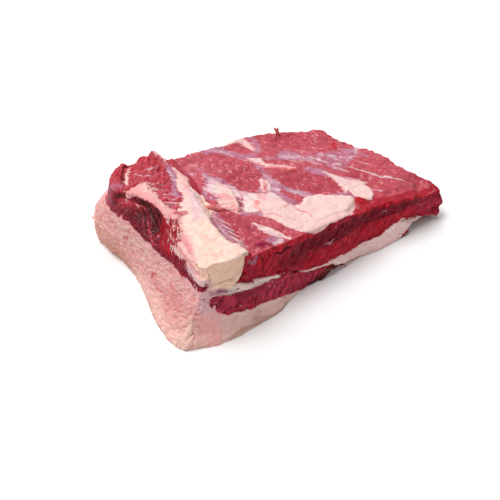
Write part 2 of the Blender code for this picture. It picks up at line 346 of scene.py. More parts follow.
class Wire:
    # one socket of a node tree; sums, differences and products of wires add Math nodes
    def __init__(self, tree, socket=None):
        self.tree, self.socket = tree, socket

    def add(self, kind, settings=None, inputs=None, output=0):
        node = self.tree.nodes.new(kind)
        for name, value in (settings or {}).items():
            if name == "stops":
                for i, (place, colour) in enumerate(value):
                    stop = node.color_ramp.elements[i] if i < 2 else node.color_ramp.elements.new(place)
                    stop.position, stop.color = place, (*colour, 1)
            else:
                setattr(node, name, value)
        for name, value in (inputs or {}).items():
            if isinstance(value, Wire):
                self.tree.links.new(value.socket, node.inputs[name])
            else:
                node.inputs[name].default_value = value
        return Wire(self.tree, node.outputs[output])

    def maths(self, operation, first, second):
        return self.add("ShaderNodeMath", {"operation": operation}, {0: first, 1: second})

    def __add__(self, other):
        return self.maths("ADD", self, other)

    def __sub__(self, other):
        return self.maths("SUBTRACT", self, other)

    def __rsub__(self, other):
        return self.maths("SUBTRACT", other, self)

    def __mul__(self, other):
        return self.maths("MULTIPLY", self, other)

    __radd__ = __add__
    __rmul__ = __mul__


def band(value, low, high):
    # 0 below low, 1 above high, smooth between
    return value.add(
        "ShaderNodeMapRange",
        {"interpolation_type": "SMOOTHSTEP"},
        {"Value": value, "From Min": low, "From Max": high},
    )


def blend(first, second, factor):
    # two colours; factor 1 gives the second
    wire = factor if isinstance(factor, Wire) else first
    return wire.add(
        "ShaderNodeMix",
        {"data_type": "RGBA", "clamp_factor": True},
        {"Factor": factor, 6: first, 7: second},
        output=2,
    )


def shade(wire, factor):
    # a colour made lighter or darker, or a place on a larger or smaller scale
    return wire.add("ShaderNodeVectorMath", {"operation": "SCALE"}, {0: wire, "Scale": factor})


def noiseAt(place, size, detail=2.0, rough=0.5, distortion=0.0):
    return place.add(
        "ShaderNodeTexNoise",
        {"noise_dimensions": "3D"},
        {"Vector": place, "Scale": 1 / size, "Detail": detail, "Roughness": rough, "Distortion": distortion},
    )


def stretched(place, turn, widths):
    # a place turned and squeezed, so that noise on it comes out as fibres
    return place.add(
        "ShaderNodeMapping",
        {"vector_type": "TEXTURE"},
        {"Vector": place, "Rotation": tuple(math.radians(a) for a in turn), "Scale": widths},
    )


meatFinish = {
    "raggedEdge": 0.1,  # how far shader noise moves the edge of fat, where 0.1 is a millimetre
    "topGrain": (0, 0, -60),  # turn of the fibres on the top
    "cutGrain": (0, 41, 0),  # and on the sides
    "capGrain": (-25, 0, 0),  # and of the cap's lobules at the thick end
    "netSize": 6.0,  # of the red veins in the cap
    "grainBump": 0.9,
    "grainDepth": 0.0007,  # metres
    "leanRoughness": 0.38,
    "fatRoughness": 0.46,
    "wetness": 0.42,
    "coatRoughness": 0.18,
    "subsurface": 0.1,
    "subsurfaceColour": (1.0, 0.35, 0.25),
    "subsurfaceReach": 0.004,  # metres
    "refraction": 1.36,
    "gloss": 0.14,
}


def meatMaterial(name, finish):
    made = bpy.data.materials.new(name)
    made.use_nodes = True
    tree = made.node_tree
    shader = tree.nodes["Principled BSDF"]
    start = Wire(tree)
    place = start.add("ShaderNodeTexCoord", output="Object")
    place = shade(place, 1000.0)

    def attribute(label, output="Fac"):
        return start.add("ShaderNodeAttribute", {"attribute_name": label}, output=output)

    fat, film, onSide, veins = (attribute(label) for label in ("fat", "film", "side", "veins"))
    leanTone, filmTone, fatTone = (attribute(label, "Color") for label in ("leanTone", "filmTone", "fatTone"))

    def clear(noise, low=0.32, high=0.68):
        return band(noise, low, high)

    fine = clear(noiseAt(place, 1.3, 2, 0.6))
    middle = clear(noiseAt(place, 3.6, 3, 0.6))
    coarse = clear(noiseAt(place, 9.0, 3, 0.6))
    topGrain = noiseAt(stretched(place, finish["topGrain"], (9, 1.3, 1.3)), 1.0, 3, 0.65, 0.3)
    cutGrain = noiseAt(stretched(place, finish["cutGrain"], (1.3, 1.3, 8)), 1.0, 3, 0.65, 0.3)
    grain = clear(topGrain) * (1 - onSide) + clear(cutGrain) * onSide
    webs = clear(noiseAt(stretched(place, finish["topGrain"], (11, 1.8, 2)), 1.0, 3, 0.6, 0.6))

    # fat where its field is above a half, with a ragged edge that the lean shows through
    edge = fat + (fine - 0.5) * finish["raggedEdge"] + (webs - 0.5) * 0.1 * (1 - onSide)
    fatMask = band(edge, 0.45, 0.55)
    thinFat = 1 - band(edge, 0.5, 0.66)

    leanColour = shade(leanTone, 0.78 + grain * 0.28 + fine * 0.08 + middle * 0.1)
    # rose specks on the top and glints on the sides are painted highlights of wet spots
    paintedWetSpecks = band(noiseAt(stretched(place, finish["topGrain"], (2.2, 1.1, 1.1)), 1.0, 2, 0.6), 0.62, 0.74)
    paintedGlints = band(noiseAt(place, 1.7, 1, 0.5), 0.68, 0.76) * band(coarse, 0.4, 0.9)
    leanColour = blend(leanColour, (*tones["rose"], 1), paintedWetSpecks * 0.07 * (1 - onSide) + paintedGlints * onSide * 0.45)
    silver = shade(filmTone, 0.86 + webs * 0.2 + fine * 0.08)
    leanColour = blend(leanColour, silver, band(film * (0.45 + webs), 0.04, 0.9))
    folds = noiseAt(place, 5.0, 4, 0.6, 1.2)
    fatColour = shade(fatTone, 0.95 + middle * 0.07 + fine * 0.04)
    swirl = shade(noiseAt(place, 7.0, 3, 0.6), 9.0)
    swirl = place.add("ShaderNodeVectorMath", {"operation": "ADD"}, {0: place, 1: swirl})
    net = swirl.add(
        "ShaderNodeTexVoronoi",
        {"voronoi_dimensions": "3D", "feature": "DISTANCE_TO_EDGE"},
        {"Vector": swirl, "Scale": 1 / finish["netSize"]},
    )
    lines = (1 - band(net, 0.0, 0.14)) * band(coarse + middle * 0.6, 0.35, 1.2) * veins
    fatColour = blend(fatColour, (*tones["netRed"], 1), lines * 0.3)
    streaks = clear(noiseAt(stretched(place, finish["capGrain"], (2.4, 8, 2.4)), 1.0, 3, 0.6, 0.5))
    fatColour = blend(fatColour, (*tones["capRed"], 1), band(1 - streaks, 0.6, 0.95) * veins * 0.22)
    # pale streaks on the cap's end are painted highlights on its lobules; the red streaks are its own colour
    fatColour = blend(fatColour, (*tones["whitePink"], 1), band(streaks, 0.5, 0.95) * veins * 0.4)
    fatColour = blend(fatColour, (*tones["rose"], 1), band(folds, 0.54, 0.7) * 0.2 + thinFat * 0.35)
    colour = blend(leanColour, fatColour, fatMask)

    height = (grain * 0.75 + middle * 0.5 + fine * 0.15) * (1 - fatMask)
    fatHeight = 0.7 + middle * 0.35 + fine * 0.12 + folds * 0.3 - lines * 0.4 + streaks * veins * 0.5
    height = height + fatHeight * fatMask + film * 0.2
    bump = height.add(
        "ShaderNodeBump",
        None,
        {"Height": height, "Strength": finish["grainBump"], "Distance": finish["grainDepth"]},
    )
    roughness = finish["leanRoughness"] + fatMask * (finish["fatRoughness"] - finish["leanRoughness"])
    roughness = roughness + (coarse - 0.5) * 0.14
    dryness = onSide * (0.85 - 0.45 * veins)
    wet = (0.2 + coarse * 0.8) * finish["wetness"] * (1 - fatMask * 0.5) * (1 - dryness)

    varied = {"Base Color": colour, "Roughness": roughness, "Coat Weight": wet, "Normal": bump}
    for socket, wire in varied.items():
        tree.links.new(wire.socket, shader.inputs[socket])
    even = {
        "Coat Roughness": finish["coatRoughness"],
        "Subsurface Weight": finish["subsurface"],
        "Subsurface Radius": finish["subsurfaceColour"],
        "Subsurface Scale": finish["subsurfaceReach"],
        "IOR": finish["refraction"],
        "Specular IOR Level": finish["gloss"],
    }
    for socket, value in even.items():
        shader.inputs[socket].default_value = value
    return made


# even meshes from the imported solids


def settled(piece):
    # works a piece's modifiers into its mesh
    bpy.context.view_layer.update()
    graph = bpy.context.evaluated_depsgraph_get()
    shape = bpy.data.meshes.new_from_object(piece.evaluated_get(graph))
    piece.modifiers.clear()
    old = piece.data
    piece.data = shape
    bpy.data.meshes.remove(old)
    return piece


def placesOf(mesh):
    points = np.empty(len(mesh.vertices) * 3)
    mesh.vertices.foreach_get("co", points)
    normals = np.empty(len(mesh.vertices) * 3)
    mesh.vertex_normals.foreach_get("vector", normals)
    return toMillimetres(points.reshape(-1, 3)), normals.reshape(-1, 3)


meshSizes = {
    "weld": 0.00001,  # metres between corners that are one
    "strandWeld": 0.00002,
    "probe": 0.0009,  # metres off a face where another layer is looked for
    "probeReach": 0.002,
    "smoothing": 0.5,
    "smoothPasses": 4,
    "hiddenDepth": 3,  # millimetres under the skin from where a mesh may be coarser
}


def outerSkin():
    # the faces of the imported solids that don't lie against another layer, as one search tree
    corners, faces, owners = [], [], []
    for name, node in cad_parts.items():
        first = len(corners)
        corners += [v.co.copy() for v in node.data.vertices]
        faces += [tuple(first + i for i in face.vertices) for face in node.data.polygons]
        owners += [name] * len(node.data.polygons)
    trees = {}
    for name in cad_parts:
        trees[name] = BVHTree.FromPolygons(corners, [f for f, owner in zip(faces, owners) if owner != name])
    outer = []
    for face, owner in zip(faces, owners):
        a, b, c = (corners[i] for i in face[:3])
        normal = (b - a).cross(c - a).normalized()
        spot = (a + b + c) / 3 + normal * meshSizes["probe"]
        found = trees[owner].find_nearest(spot, meshSizes["probeReach"])
        if found[0] is None or (spot - found[0]).dot(found[1]) > 0:
            outer.append(face)
    return BVHTree.FromPolygons(corners, outer)


def onSkin(points):
    # each vertex's distance from the outer skin, and the skin's direction and place there
    away, facing, nearSkin = np.empty(len(points)), np.empty((len(points), 3)), np.empty((len(points), 3))
    for i, spot in enumerate(toMetres(points)):
        place, normal, _, distance = skin.find_nearest(Vector(spot))
        away[i], facing[i], nearSkin[i] = distance * 1000, normal, place
    return away, facing, toMillimetres(nearSkin)


skin = outerSkin()


def evenCopy(node, name, voxel, keepShare):
    # a layer's mesh with corners a voxel apart, coarser where it is hidden
    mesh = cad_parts[node].data.copy()
    work = bmesh.new()
    work.from_mesh(mesh)
    bmesh.ops.remove_doubles(work, verts=work.verts[:], dist=meshSizes["weld"])
    work.to_mesh(mesh)
    work.free()
    piece = bpy.data.objects.new(name, mesh)
    bpy.context.scene.collection.objects.link(piece)
    even = piece.modifiers.new("even", "REMESH")
    even.mode, even.voxel_size = "VOXEL", voxel / 1000
    smooth = piece.modifiers.new("smooth", "SMOOTH")
    smooth.factor, smooth.iterations = meshSizes["smoothing"], meshSizes["smoothPasses"]
    settled(piece)
    if keepShare < 1:
        points, _ = placesOf(piece.data)
        away, facing, _ = onSkin(points)
        underneath = (facing[:, 2] < -0.8) & (points[:, 2] < 1.2)
        hidden = (away > meshSizes["hiddenDepth"]) | underneath
        group = piece.vertex_groups.new(name="hidden")
        group.add([int(i) for i in np.flatnonzero(hidden)], 1.0, "REPLACE")
        fewer = piece.modifiers.new("fewer", "DECIMATE")
        fewer.ratio, fewer.vertex_group, fewer.vertex_group_factor = keepShare, group.name, 10
        settled(piece)
        piece.vertex_groups.clear()
    return piece


def smoothedOver(mesh, values, passes):
    # evens out values between neighbouring vertices
    edges = np.empty(len(mesh.edges) * 2, int)
    mesh.edges.foreach_get("vertices", edges)
    a, b = edges.reshape(-1, 2).T
    count = np.bincount(np.concatenate([a, b]), minlength=len(values)) + 1e-9
    for _ in range(passes):
        for k in range(values.shape[1]):
            total = np.bincount(a, values[b, k], len(values)) + np.bincount(b, values[a, k], len(values))
            values[:, k] = 0.5 * values[:, k] + 0.5 * total / count
    return values


def finishMesh(piece, marks, points):
    mesh = piece.data
    mesh.vertices.foreach_set("co", toMetres(points).ravel())
    values = {
        "fat": 0.5 + np.clip(marks.fat, -4.9, 4.9) / 10,
        "film": marks.film,
        "side": marks.side,
        "veins": marks.veins,
    }
    for label, value in values.items():
        mesh.attributes.new(label, "FLOAT", "POINT").data.foreach_set("value", value)
    for label in ("leanTone", "filmTone", "fatTone"):
        colour = np.clip(getattr(marks, label), 0, 1)
        flat = np.hstack([colour, np.ones((len(colour), 1))]).ravel()
        mesh.attributes.new(label, "FLOAT_COLOR", "POINT").data.foreach_set("color", flat)
    mesh.shade_smooth()
    mesh.update()


# the top: (x, y) marks

topMarks = [
    # broad changes of the lean
    tint("leanDeep", [(160, 152), (200, 158), (206, 124), (178, 112), (160, 122)], soft=16, amount=0.8),
    tint("leanDeep", [(206, 120), (236, 122), (262, 104), (260, 70), (222, 76), (206, 96)], soft=12,
        amount=0.8),
    tint("leanDeep", [(98, 94), (128, 92), (132, 40), (104, 34), (98, 60)], soft=12, amount=0.8),
    tint("leanDeep", [(283, 88), (296, 92), (304, 70), (294, 60), (284, 70)], soft=8, amount=0.7),
    tint("leanLight", [(124, 204), (170, 204), (168, 168), (130, 164)], soft=24, amount=0.7),
    tint("leanDeep", [(252, 200), (310, 172), (320, 140), (290, 150), (262, 164)], soft=20, amount=0.5),
    tint("leanDeep", [(140, 94), (147, 106), (150, 122)], [9, 11, 6]),
    # painted shade on one side of the lean's gap between the fat patches
    tint("leanDark", [(133, 94), (140, 104), (146, 116), (149, 128)], [3, 4, 4, 2], soft=3, amount=0.6),
    # faint streaks in the lean
    film("lavender", [(144, 192), (147, 180), (150, 168)], [3, 4, 2], soft=4, amount=0.5),
    film("lavender", [(133, 180), (137, 174)], [6, 5], amount=0.5),
    film("filmPale", [(150, 188), (153, 178)], [2, 2], soft=3, amount=0.35),
    tint("leanPurple", [(169, 153), (171, 150)], [4, 4], amount=0.5),
    tint("leanPurple", [(191, 156), (194, 150)], [4, 3], amount=0.5),
    tint("leanPurple", [(122, 67), (124, 63)], [5, 5], amount=0.6),
    tint("salmon", [(252, 192), (255, 186), (259, 184)], [3, 4, 2], amount=0.4),
    # silverskin beside the strip and round the folded fat
    film("lavender", [(86, 98), (92, 84), (93, 66), (93, 48)], [10, 13, 12, 6], soft=6, amount=0.85),
    film("lavender", [(108, 102), (103, 84), (101, 68), (99, 54)], [4, 7, 7, 3]),
    film("filmPale", [(106, 106), (99, 94), (96, 80), (94, 66)], [7, 6, 4, 2], amount=0.5),
    film("purple", [(104, 88), (101, 72), (99, 56), (98, 44)], [3, 5, 5, 3], soft=4, amount=0.5),
    film("lavender", [(118, 137), (130, 150), (139, 160), (143, 169), (151, 163), (158, 150), (160, 139),
        (160, 122), (152, 118), (140, 120), (126, 122), (118, 128)], soft=6, amount=0.9),
    film("filmPale", [(143, 166), (146, 152), (144, 140), (140, 130)], [3, 8, 13, 10], amount=1),
    film("filmWhite", [(128, 146), (134, 136), (140, 128)], [3, 5, 6], soft=4, amount=0.8),
    film("filmWhite", [(156, 142), (156, 128), (157, 116)], [3, 5, 8], soft=3, amount=0.9),
    bare([(122, 131), (128, 138)], [3, 4]),
    bare([(131, 142), (135, 150)], [3, 4], amount=0.8),
    bare([(125, 127), (130, 131)], [2, 3], amount=0.8),
    fat("filmPale", [(128, 140), (133, 150), (141, 155), (148, 150), (153, 140), (156, 128), (162, 118),
        (156, 108), (150, 114), (146, 124), (138, 124), (130, 130)], rise=0.5, edge=3, sharp=0.35,
        fray=2.4),
    bare([(135, 146), (133, 136), (128, 130)], [2, 3, 2], amount=0.7),
    fatTint("bandGrey", [(130, 130), (136, 144), (144, 150), (150, 142), (152, 130), (143, 122),
        (134, 123)], soft=7),
    # broad band of fat: a thin pale upper part and a thick lower one
    film("lavender", [(150, 124), (146, 108), (140, 98), (132, 92), (131, 86), (140, 80), (148, 72),
        (192, 68), (194, 88), (192, 102), (178, 113), (168, 113), (160, 122)], amount=0.9),
    fat("bandGrey", [(152, 121), (149, 112), (145, 101), (138, 92), (135, 88), (140, 84), (146, 80),
        (180, 70), (186, 84), (188, 98), (180, 106), (172, 108), (164, 116), (158, 116)], rise=0.7, edge=3,
        sharp=0.4, fray=1.6),
    fat("whitePink", [(148, 88), (150, 78), (147, 73), (152, 62), (154, 50), (156, 44), (160, 36),
        (166, 30), (180, 24), (200, 22), (225, 23), (242, 29), (250, 37), (256, 43), (258, 49), (248, 55),
        (241, 61), (229, 70), (220, 74), (207, 74), (200, 69), (195, 67), (188, 70), (184, 80), (180, 92),
        (174, 98), (162, 96), (154, 96)], rise=1.3, edge=4),
    fatTint("filmPale", [(158, 116), (166, 112), (186, 100), (188, 84), (178, 80), (160, 98), (152, 108)],
        soft=8, amount=0.35),
    bare([(150, 108), (154, 116)], [3, 3], soft=2),
    fatTint("lavender", [(152, 112), (156, 118)], [4, 3], amount=0.7),
    fatTint("pink", [(171, 112), (172, 104), (168, 96)], [4, 8, 8], soft=5, amount=0.8),
    fatTint("pink", [(156, 96), (151, 88), (149, 80), (148, 74)], [4, 3, 3, 2], rise=0.5, edge=1.5),
    fatTint("pink", [(148, 74), (154, 71), (160, 68)], [2, 3, 2], soft=2, rise=0.5, edge=1.5),
    fatTint("salmon", [(155, 92), (159, 97)], [4, 5], rise=0.6, edge=1.5),
    fatTint("salmon", [(159, 65), (161, 59)], [2, 2], soft=2, amount=0.6),
    fatTint("pink", [(168, 57), (173, 48)], [4, 4], soft=5, amount=0.5),
    fatTint("salmon", [(177, 72), (182, 72)], [3, 3], amount=0.5),
    fatTint("pink", [(176, 28), (210, 27), (232, 32)], [4, 4, 3], soft=5, amount=0.4),
    # the flap over it, with a crease along its edge
    fatTint("whitePink", [(188, 36), (187, 55), (188, 66), (207, 74), (224, 73), (250, 50), (238, 32)],
        soft=4, rise=1.5, edge=1.6),
    crease("salmon", [(186, 66), (188, 58), (191, 50), (190, 42)], [1.2, 1.8, 1.8, 1], soft=1.4, amount=0.8,
        rise=-0.9, edge=1),
    crease("leanBright", [(188, 57), (190, 53)], [1.6, 1.2], soft=1.2, amount=0.6),
    crease("leanBright", [(191, 49), (190.6, 46)], [1.5, 1], soft=1.2, amount=0.6),
    # folded fat at the foot of the strip
    fat("whitePink", [(133, 124), (136, 134), (142, 141), (150, 143), (153, 134), (149, 127), (144, 114),
        (139, 104), (132, 92), (127, 93), (126, 100), (121, 106), (120, 114), (125, 121)], rise=1.0,
        edge=2.5, sharp=0.4, fray=1.6),
    fat("whitePink", [(149, 133), (147, 124), (142, 113), (137, 104), (131, 96)], [4, 6, 6, 5, 3], rise=1.8,
        edge=2),
    fat("pink", [(133, 126), (137, 121), (140, 114)], [5, 7, 4], rise=1.2, edge=2),
    fat("pinkPale", [(121, 113), (129, 112), (136, 108)], [5, 8, 5], rise=1.2, edge=2),
    crease("rose", [(126, 119), (134, 116), (139, 110)], [1.2, 1.8, 1], soft=1.6, amount=0.9, rise=-1.0,
        edge=1),
    crease("rose", [(138, 127), (143, 119), (142, 112)], [1, 1.6, 1], soft=1.6, amount=0.8, rise=-0.9,
        edge=1),
    crease("salmon", [(122, 105), (129, 104), (135, 103)], [1.6, 2.4, 1.5], soft=1.6, rise=-0.6, edge=1),
    fat("pink", [(131, 98), (128, 92)], [4, 2], rise=0.8, edge=1.5),
    # loop of skin at the upper right of the band
    film("filmPale", [(177, 112), (183, 119), (192, 128), (197, 122), (196, 112), (200, 104), (192, 98),
        (182, 102)], soft=4, amount=0.9),
    fat("pink", [(180, 108), (184, 114), (190, 122), (193, 126)], [4, 7, 7, 3], rise=1.5, edge=1.8),
    fat("whitePink", [(193, 127), (195, 119), (192, 112), (187, 106)], [2, 3, 3, 2], rise=1.6, edge=1.2),
    fat("whitePink", [(181, 114), (186, 120), (191, 127)], [1.6, 2.4, 2], rise=1.4, edge=1.2),
    crease("salmon", [(183, 110), (188, 113)], [3, 3], soft=2.5, rise=-1, edge=1.2),
    film("lavender", [(186, 104), (190, 92), (188, 78)], [5, 7, 5], soft=4, amount=1),
    # streak in front
    fat("filmWhite", [(130, 70), (133, 58), (137, 46), (140, 34)], [2.5, 7, 7, 4], rise=0.9, edge=2,
        sharp=0.4, fray=1.6),
    fat("whitePink", [(134, 66), (138, 54), (142, 40), (146, 30)], [1.5, 3.5, 4, 4], rise=0.8, edge=1.6),
    film("lavender", [(124, 42), (130, 38), (136, 34)], [5, 10, 8], soft=4, amount=1),
    film("filmWhite", [(127, 33), (136, 34)], [4, 5], soft=3, amount=0.8),
    # lean between, with blood
    tint("leanPurple", [(111, 42), (117, 38), (124, 33)], [4, 9, 6], soft=5),
    # the back edge
    film("lavender", [(171, 206), (173, 196), (186, 192), (198, 178), (204, 172), (208, 180), (202, 198),
        (196, 208)], amount=0.75),
    film("filmPale", [(178, 202), (186, 197), (195, 192), (199, 182)], [3, 5, 6, 4], soft=4, amount=0.7),
    fat("cream", [(188, 205), (204, 203.5), (222, 204), (240, 207), (262, 206)], [1.5, 3, 3.5, 3.5, 1],
        rise=0.5),
    tint("leanDark", [(219, 196), (221, 190)], [2.5, 3], soft=2.5, amount=0.7),
    film("lavender", [(204, 176), (212, 178), (222, 172), (222, 164), (212, 164), (204, 168)], soft=6,
        amount=0.9),
    fat("white", [(228, 206), (231, 195), (229, 184), (228, 175)], [12, 10, 7, 3], rise=0.8, sharp=0.4,
        fray=1.6),
    fatTint("pinkPale", [(231, 203), (230, 190), (228, 178)], [4, 5, 3]),
    film("lavender", [(246, 206), (242, 194), (238, 184), (228, 172)], [10, 10, 10, 6], amount=0.8),
    # middle of the back: a pale patch that runs on as a red ridge
    film("filmWhite", [(262, 140), (266, 128), (268, 116)], [3, 5, 3], soft=4),
    film("lavender", [(222, 160), (228, 150), (242, 144), (262, 134), (268, 150), (262, 162), (246, 158),
        (236, 152)], soft=6, amount=0.9),
    fat("white", [(204, 166), (213, 165), (221, 157), (221, 150), (226, 142), (218, 138), (212, 146),
        (209, 156)], rise=0.8, sharp=0.4, fray=1.6),
    fat("pink", [(214, 143), (224, 135), (233, 129), (241, 123)], [5, 10, 10, 5], rise=1.6, edge=2),
    fatTint("salmon", [(214, 139), (222, 131), (231, 125), (240, 121)], [4, 7, 6, 4]),
    fatTint("whitePink", [(212, 145), (219, 141), (228, 136), (236, 131)], [3, 4, 4, 3], amount=0.8),
    tint("leanBright", [(236, 123), (242, 121)], [3, 4], soft=3),
    film("filmWhite", [(243, 153), (254, 146), (266, 139)], [4, 8, 5], soft=6),
    fatTint("leanBright", [(220, 134), (223, 130)], [2, 2.4], soft=2, amount=0.5),
    fatTint("leanBright", [(228, 129), (231, 126)], [2, 2.6], soft=2, amount=0.55),
    fatTint("leanBright", [(235, 124), (240, 121)], [2.4, 3], soft=2, amount=0.6),
    tint("leanBright", [(246, 150), (250, 147)], [2, 2.6], soft=2, amount=0.8),
    tint("leanBright", [(243, 143), (248, 140)], [4, 4], soft=3, amount=0.8),
    film("filmWhite", [(245, 137), (254, 133), (262, 128)], [2, 4, 2], amount=0.4),
    film("filmPale", [(244, 132), (243, 124), (240, 116)], [3, 5, 2], amount=0.35),
    # the slanting skin through the middle
    film("lavender", [(208, 152), (205, 136), (201, 122), (200, 108)], [4, 7, 11, 10], amount=1),
    film("filmWhite", [(204, 134), (201, 120), (204, 108)], [2, 5, 4], amount=0.5),
    film("lavender", [(202, 108), (207, 96), (215, 82), (222, 74)], [8, 10, 10, 6], amount=0.9),
    film("filmWhite", [(206, 96), (212, 86), (218, 76)], [3, 6, 5]),
    film("lavender", [(252, 112), (262, 98), (266, 88)], [8, 12, 8], amount=0.95),
    # patch near the thin end
    film("lavender", [(262, 134), (268, 118), (274, 106), (276, 92), (290, 92), (304, 98), (326, 108),
        (330, 120), (312, 126), (292, 130), (276, 140)], soft=9, fray=4.0),
    film("filmWhite", [(278, 100), (284, 92), (289, 84)], [2, 4, 2], soft=3, amount=0.7),
    film("filmWhite", [(300, 118), (306, 108), (311, 100)], [1.6, 3, 1.6], soft=3, amount=0.7),
    film("filmWhite", [(272, 130), (276, 120), (280, 112)], [2, 4, 2], soft=3),
    film("filmPale", [(286, 128), (292, 116), (298, 104)], [2, 3, 2], soft=3),
    film("lavender", [(318, 124), (326, 110), (332, 96)], [5, 9, 5], soft=6),
    fat("white", [(262, 99), (268, 92), (272, 84), (280, 75), (287, 69), (294, 60), (286, 57), (270, 60),
        (258, 58), (262, 72), (262, 86)], rise=0.8, sharp=0.4, fray=1.6),
    fatTint("filmPale", [(268, 96), (272, 80), (280, 70), (292, 62), (286, 76), (276, 92)], soft=5),
    fat("whitePink", [(265, 65), (280, 64), (287, 57), (287, 49), (282, 40), (273, 33), (266, 39),
        (261, 48), (261, 58)], rise=1.5, edge=1.8),
    film("lavender", [(241, 62), (250, 57), (259, 50)], [4, 9, 6], soft=4, amount=1),
    lean("leanBright", [(250, 37), (256, 43), (262, 45), (266, 40), (270, 33), (262, 32)], soft=3),
    film("filmWhite", [(284, 104), (290, 100)], [4, 4], soft=3, amount=0.8),
    film("filmWhite", [(294, 121), (297, 117)], [4, 4], soft=3, amount=0.7),
    film("filmWhite", [(296, 92), (304, 76), (312, 60), (324, 46), (342, 32)], [1.5, 3, 3, 2.5, 1], soft=2,
        amount=0.9),
    film("filmPale", [(287, 46), (294, 38)], [3, 1.5], soft=2, amount=0.9),
    film("filmPale", [(302, 102), (316, 104), (324, 100)], [2, 3, 1], soft=2.5, amount=0.8),
    film("filmPale", [(312, 96), (318, 86), (322, 76)], [2, 3, 1], soft=2.5),
    film("filmPale", [(326, 109), (334, 115), (341, 122)], [4, 7, 4], soft=3, amount=0.8),
    film("filmPale", [(300, 150), (307, 156), (312, 164)], [1.5, 2.5, 1], soft=2.5, amount=0.5),
    film("filmPale", [(345, 150), (349, 120), (350, 90), (350, 60)], [1, 2.5, 2, 1], soft=2, amount=0.7),
    tint("leanBright", [(312, 131), (320, 138)], [4, 7]),
    tint("leanBright", [(330, 150), (333, 156)], [3, 4], soft=3, amount=0.8),
    tint("leanBright", [(303, 128), (306, 131)], [3, 3], soft=3, amount=0.6),
    # the cut face's upper edge
    tint("edgeRed", [(118, 29), (160, 26), (226, 25), (246, 29), (264, 36), (284, 32), (310, 25), (350, 20),
        (362, 10), (330, 0), (100, 0), (90, 26)], amount=0.95),
]

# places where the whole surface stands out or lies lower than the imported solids
formMarks = [
    form([(130, 196), (150, 230), (250, 228), (322, 196), (320, 180), (290, 190), (250, 200)], rise=1.8,
        edge=10),
    form([(128, 206), (136, 208)], [9, 9], rise=2.5, edge=6),
    form([(270, 190), (270, 216), (330, 200), (340, 176), (312, 186)], rise=1.6, edge=8),
    form([(300, 192), (318, 182), (336, 164)], [14, 14, 12], rise=2.6, edge=8),
    form([(336, 168), (352, 130), (364, 90), (364, 56), (346, 62), (340, 100), (330, 146)], rise=-1.8,
        edge=8),
    lift([(338, -8), (336, 26), (350, 38), (372, 38), (372, -8)], rise=-6.0, edge=14, between=(30, 48)),
    form([(56, 244), (64, 208), (84, 214), (94, 226), (84, 246)], rise=-2.5, edge=12),
    lift([(92, 224), (108, 224)], [18, 16], rise=-4.6, edge=9, between=(64, 92)),
    lift([(30, 30), (34, 40)], [24, 24], rise=-6.0, edge=18, between=(66, 94)),
    lift([(290, 196), (316, 186), (332, 166), (342, 140)], [14, 20, 20, 14], rise=2.6, edge=18,
        between=(24, 44)),
    lift([(346, 104), (348, 72), (346, 52)], [16, 16, 14], rise=1.6, edge=16, between=(24, 44)),
    form([(112, 216), (117, 224)], [7, 7], rise=3.5, edge=5),
    form([(122, 200), (126, 216)], [6, 6], rise=-2.5, edge=5),
    form([(18, 12), (20, 66), (42, 62), (60, 14)], rise=-4.0, edge=16),
    lift([(40, 122), (58, 115), (62, 106), (50, 77), (42, 56), (36, 52), (24, 58), (24, 70), (30, 100)],
        rise=-2.4, edge=10, between=(82, 94)),
    lift([(34, 62), (37, 78), (41, 98)], [10, 16, 14], rise=-1.6, edge=10, between=(84, 94)),
    form([(72, 20), (74, 46), (90, 46), (90, 20)], rise=4.5, edge=9),
    form([(236, 18), (240, 34), (300, 34), (340, 24), (340, 12)], rise=-2.0, edge=8),
]

thinMarks = [
    lean("cut", [(-20, -20), (-20, 122), (290, 122), (290, -20)]),
    tint("cutPink", [(0, 10), (0, 50), (60, 52), (80, 20)], soft=14, amount=0.6),
    tint("lean", [(40, 40), (40, 60), (180, 60), (180, 40)], soft=14, amount=0.6),
    form([(-10, 4), (-10, 50), (36, 50), (46, 8)], rise=7.5, edge=22),
]

backMarks = [
    lean("lean", [(90, -20), (90, 122), (380, 122), (380, -20)]),
    fat("capPink", [(20, -20), (20, 56), (60, 62), (110, 56), (150, 34), (200, 20), (260, 16), (320, 14),
        (330, -20)]),
    film("lavender", [(120, 60), (160, 66), (220, 50), (300, 40), (300, 30), (200, 34), (140, 50)], soft=14,
        amount=0.4),
]

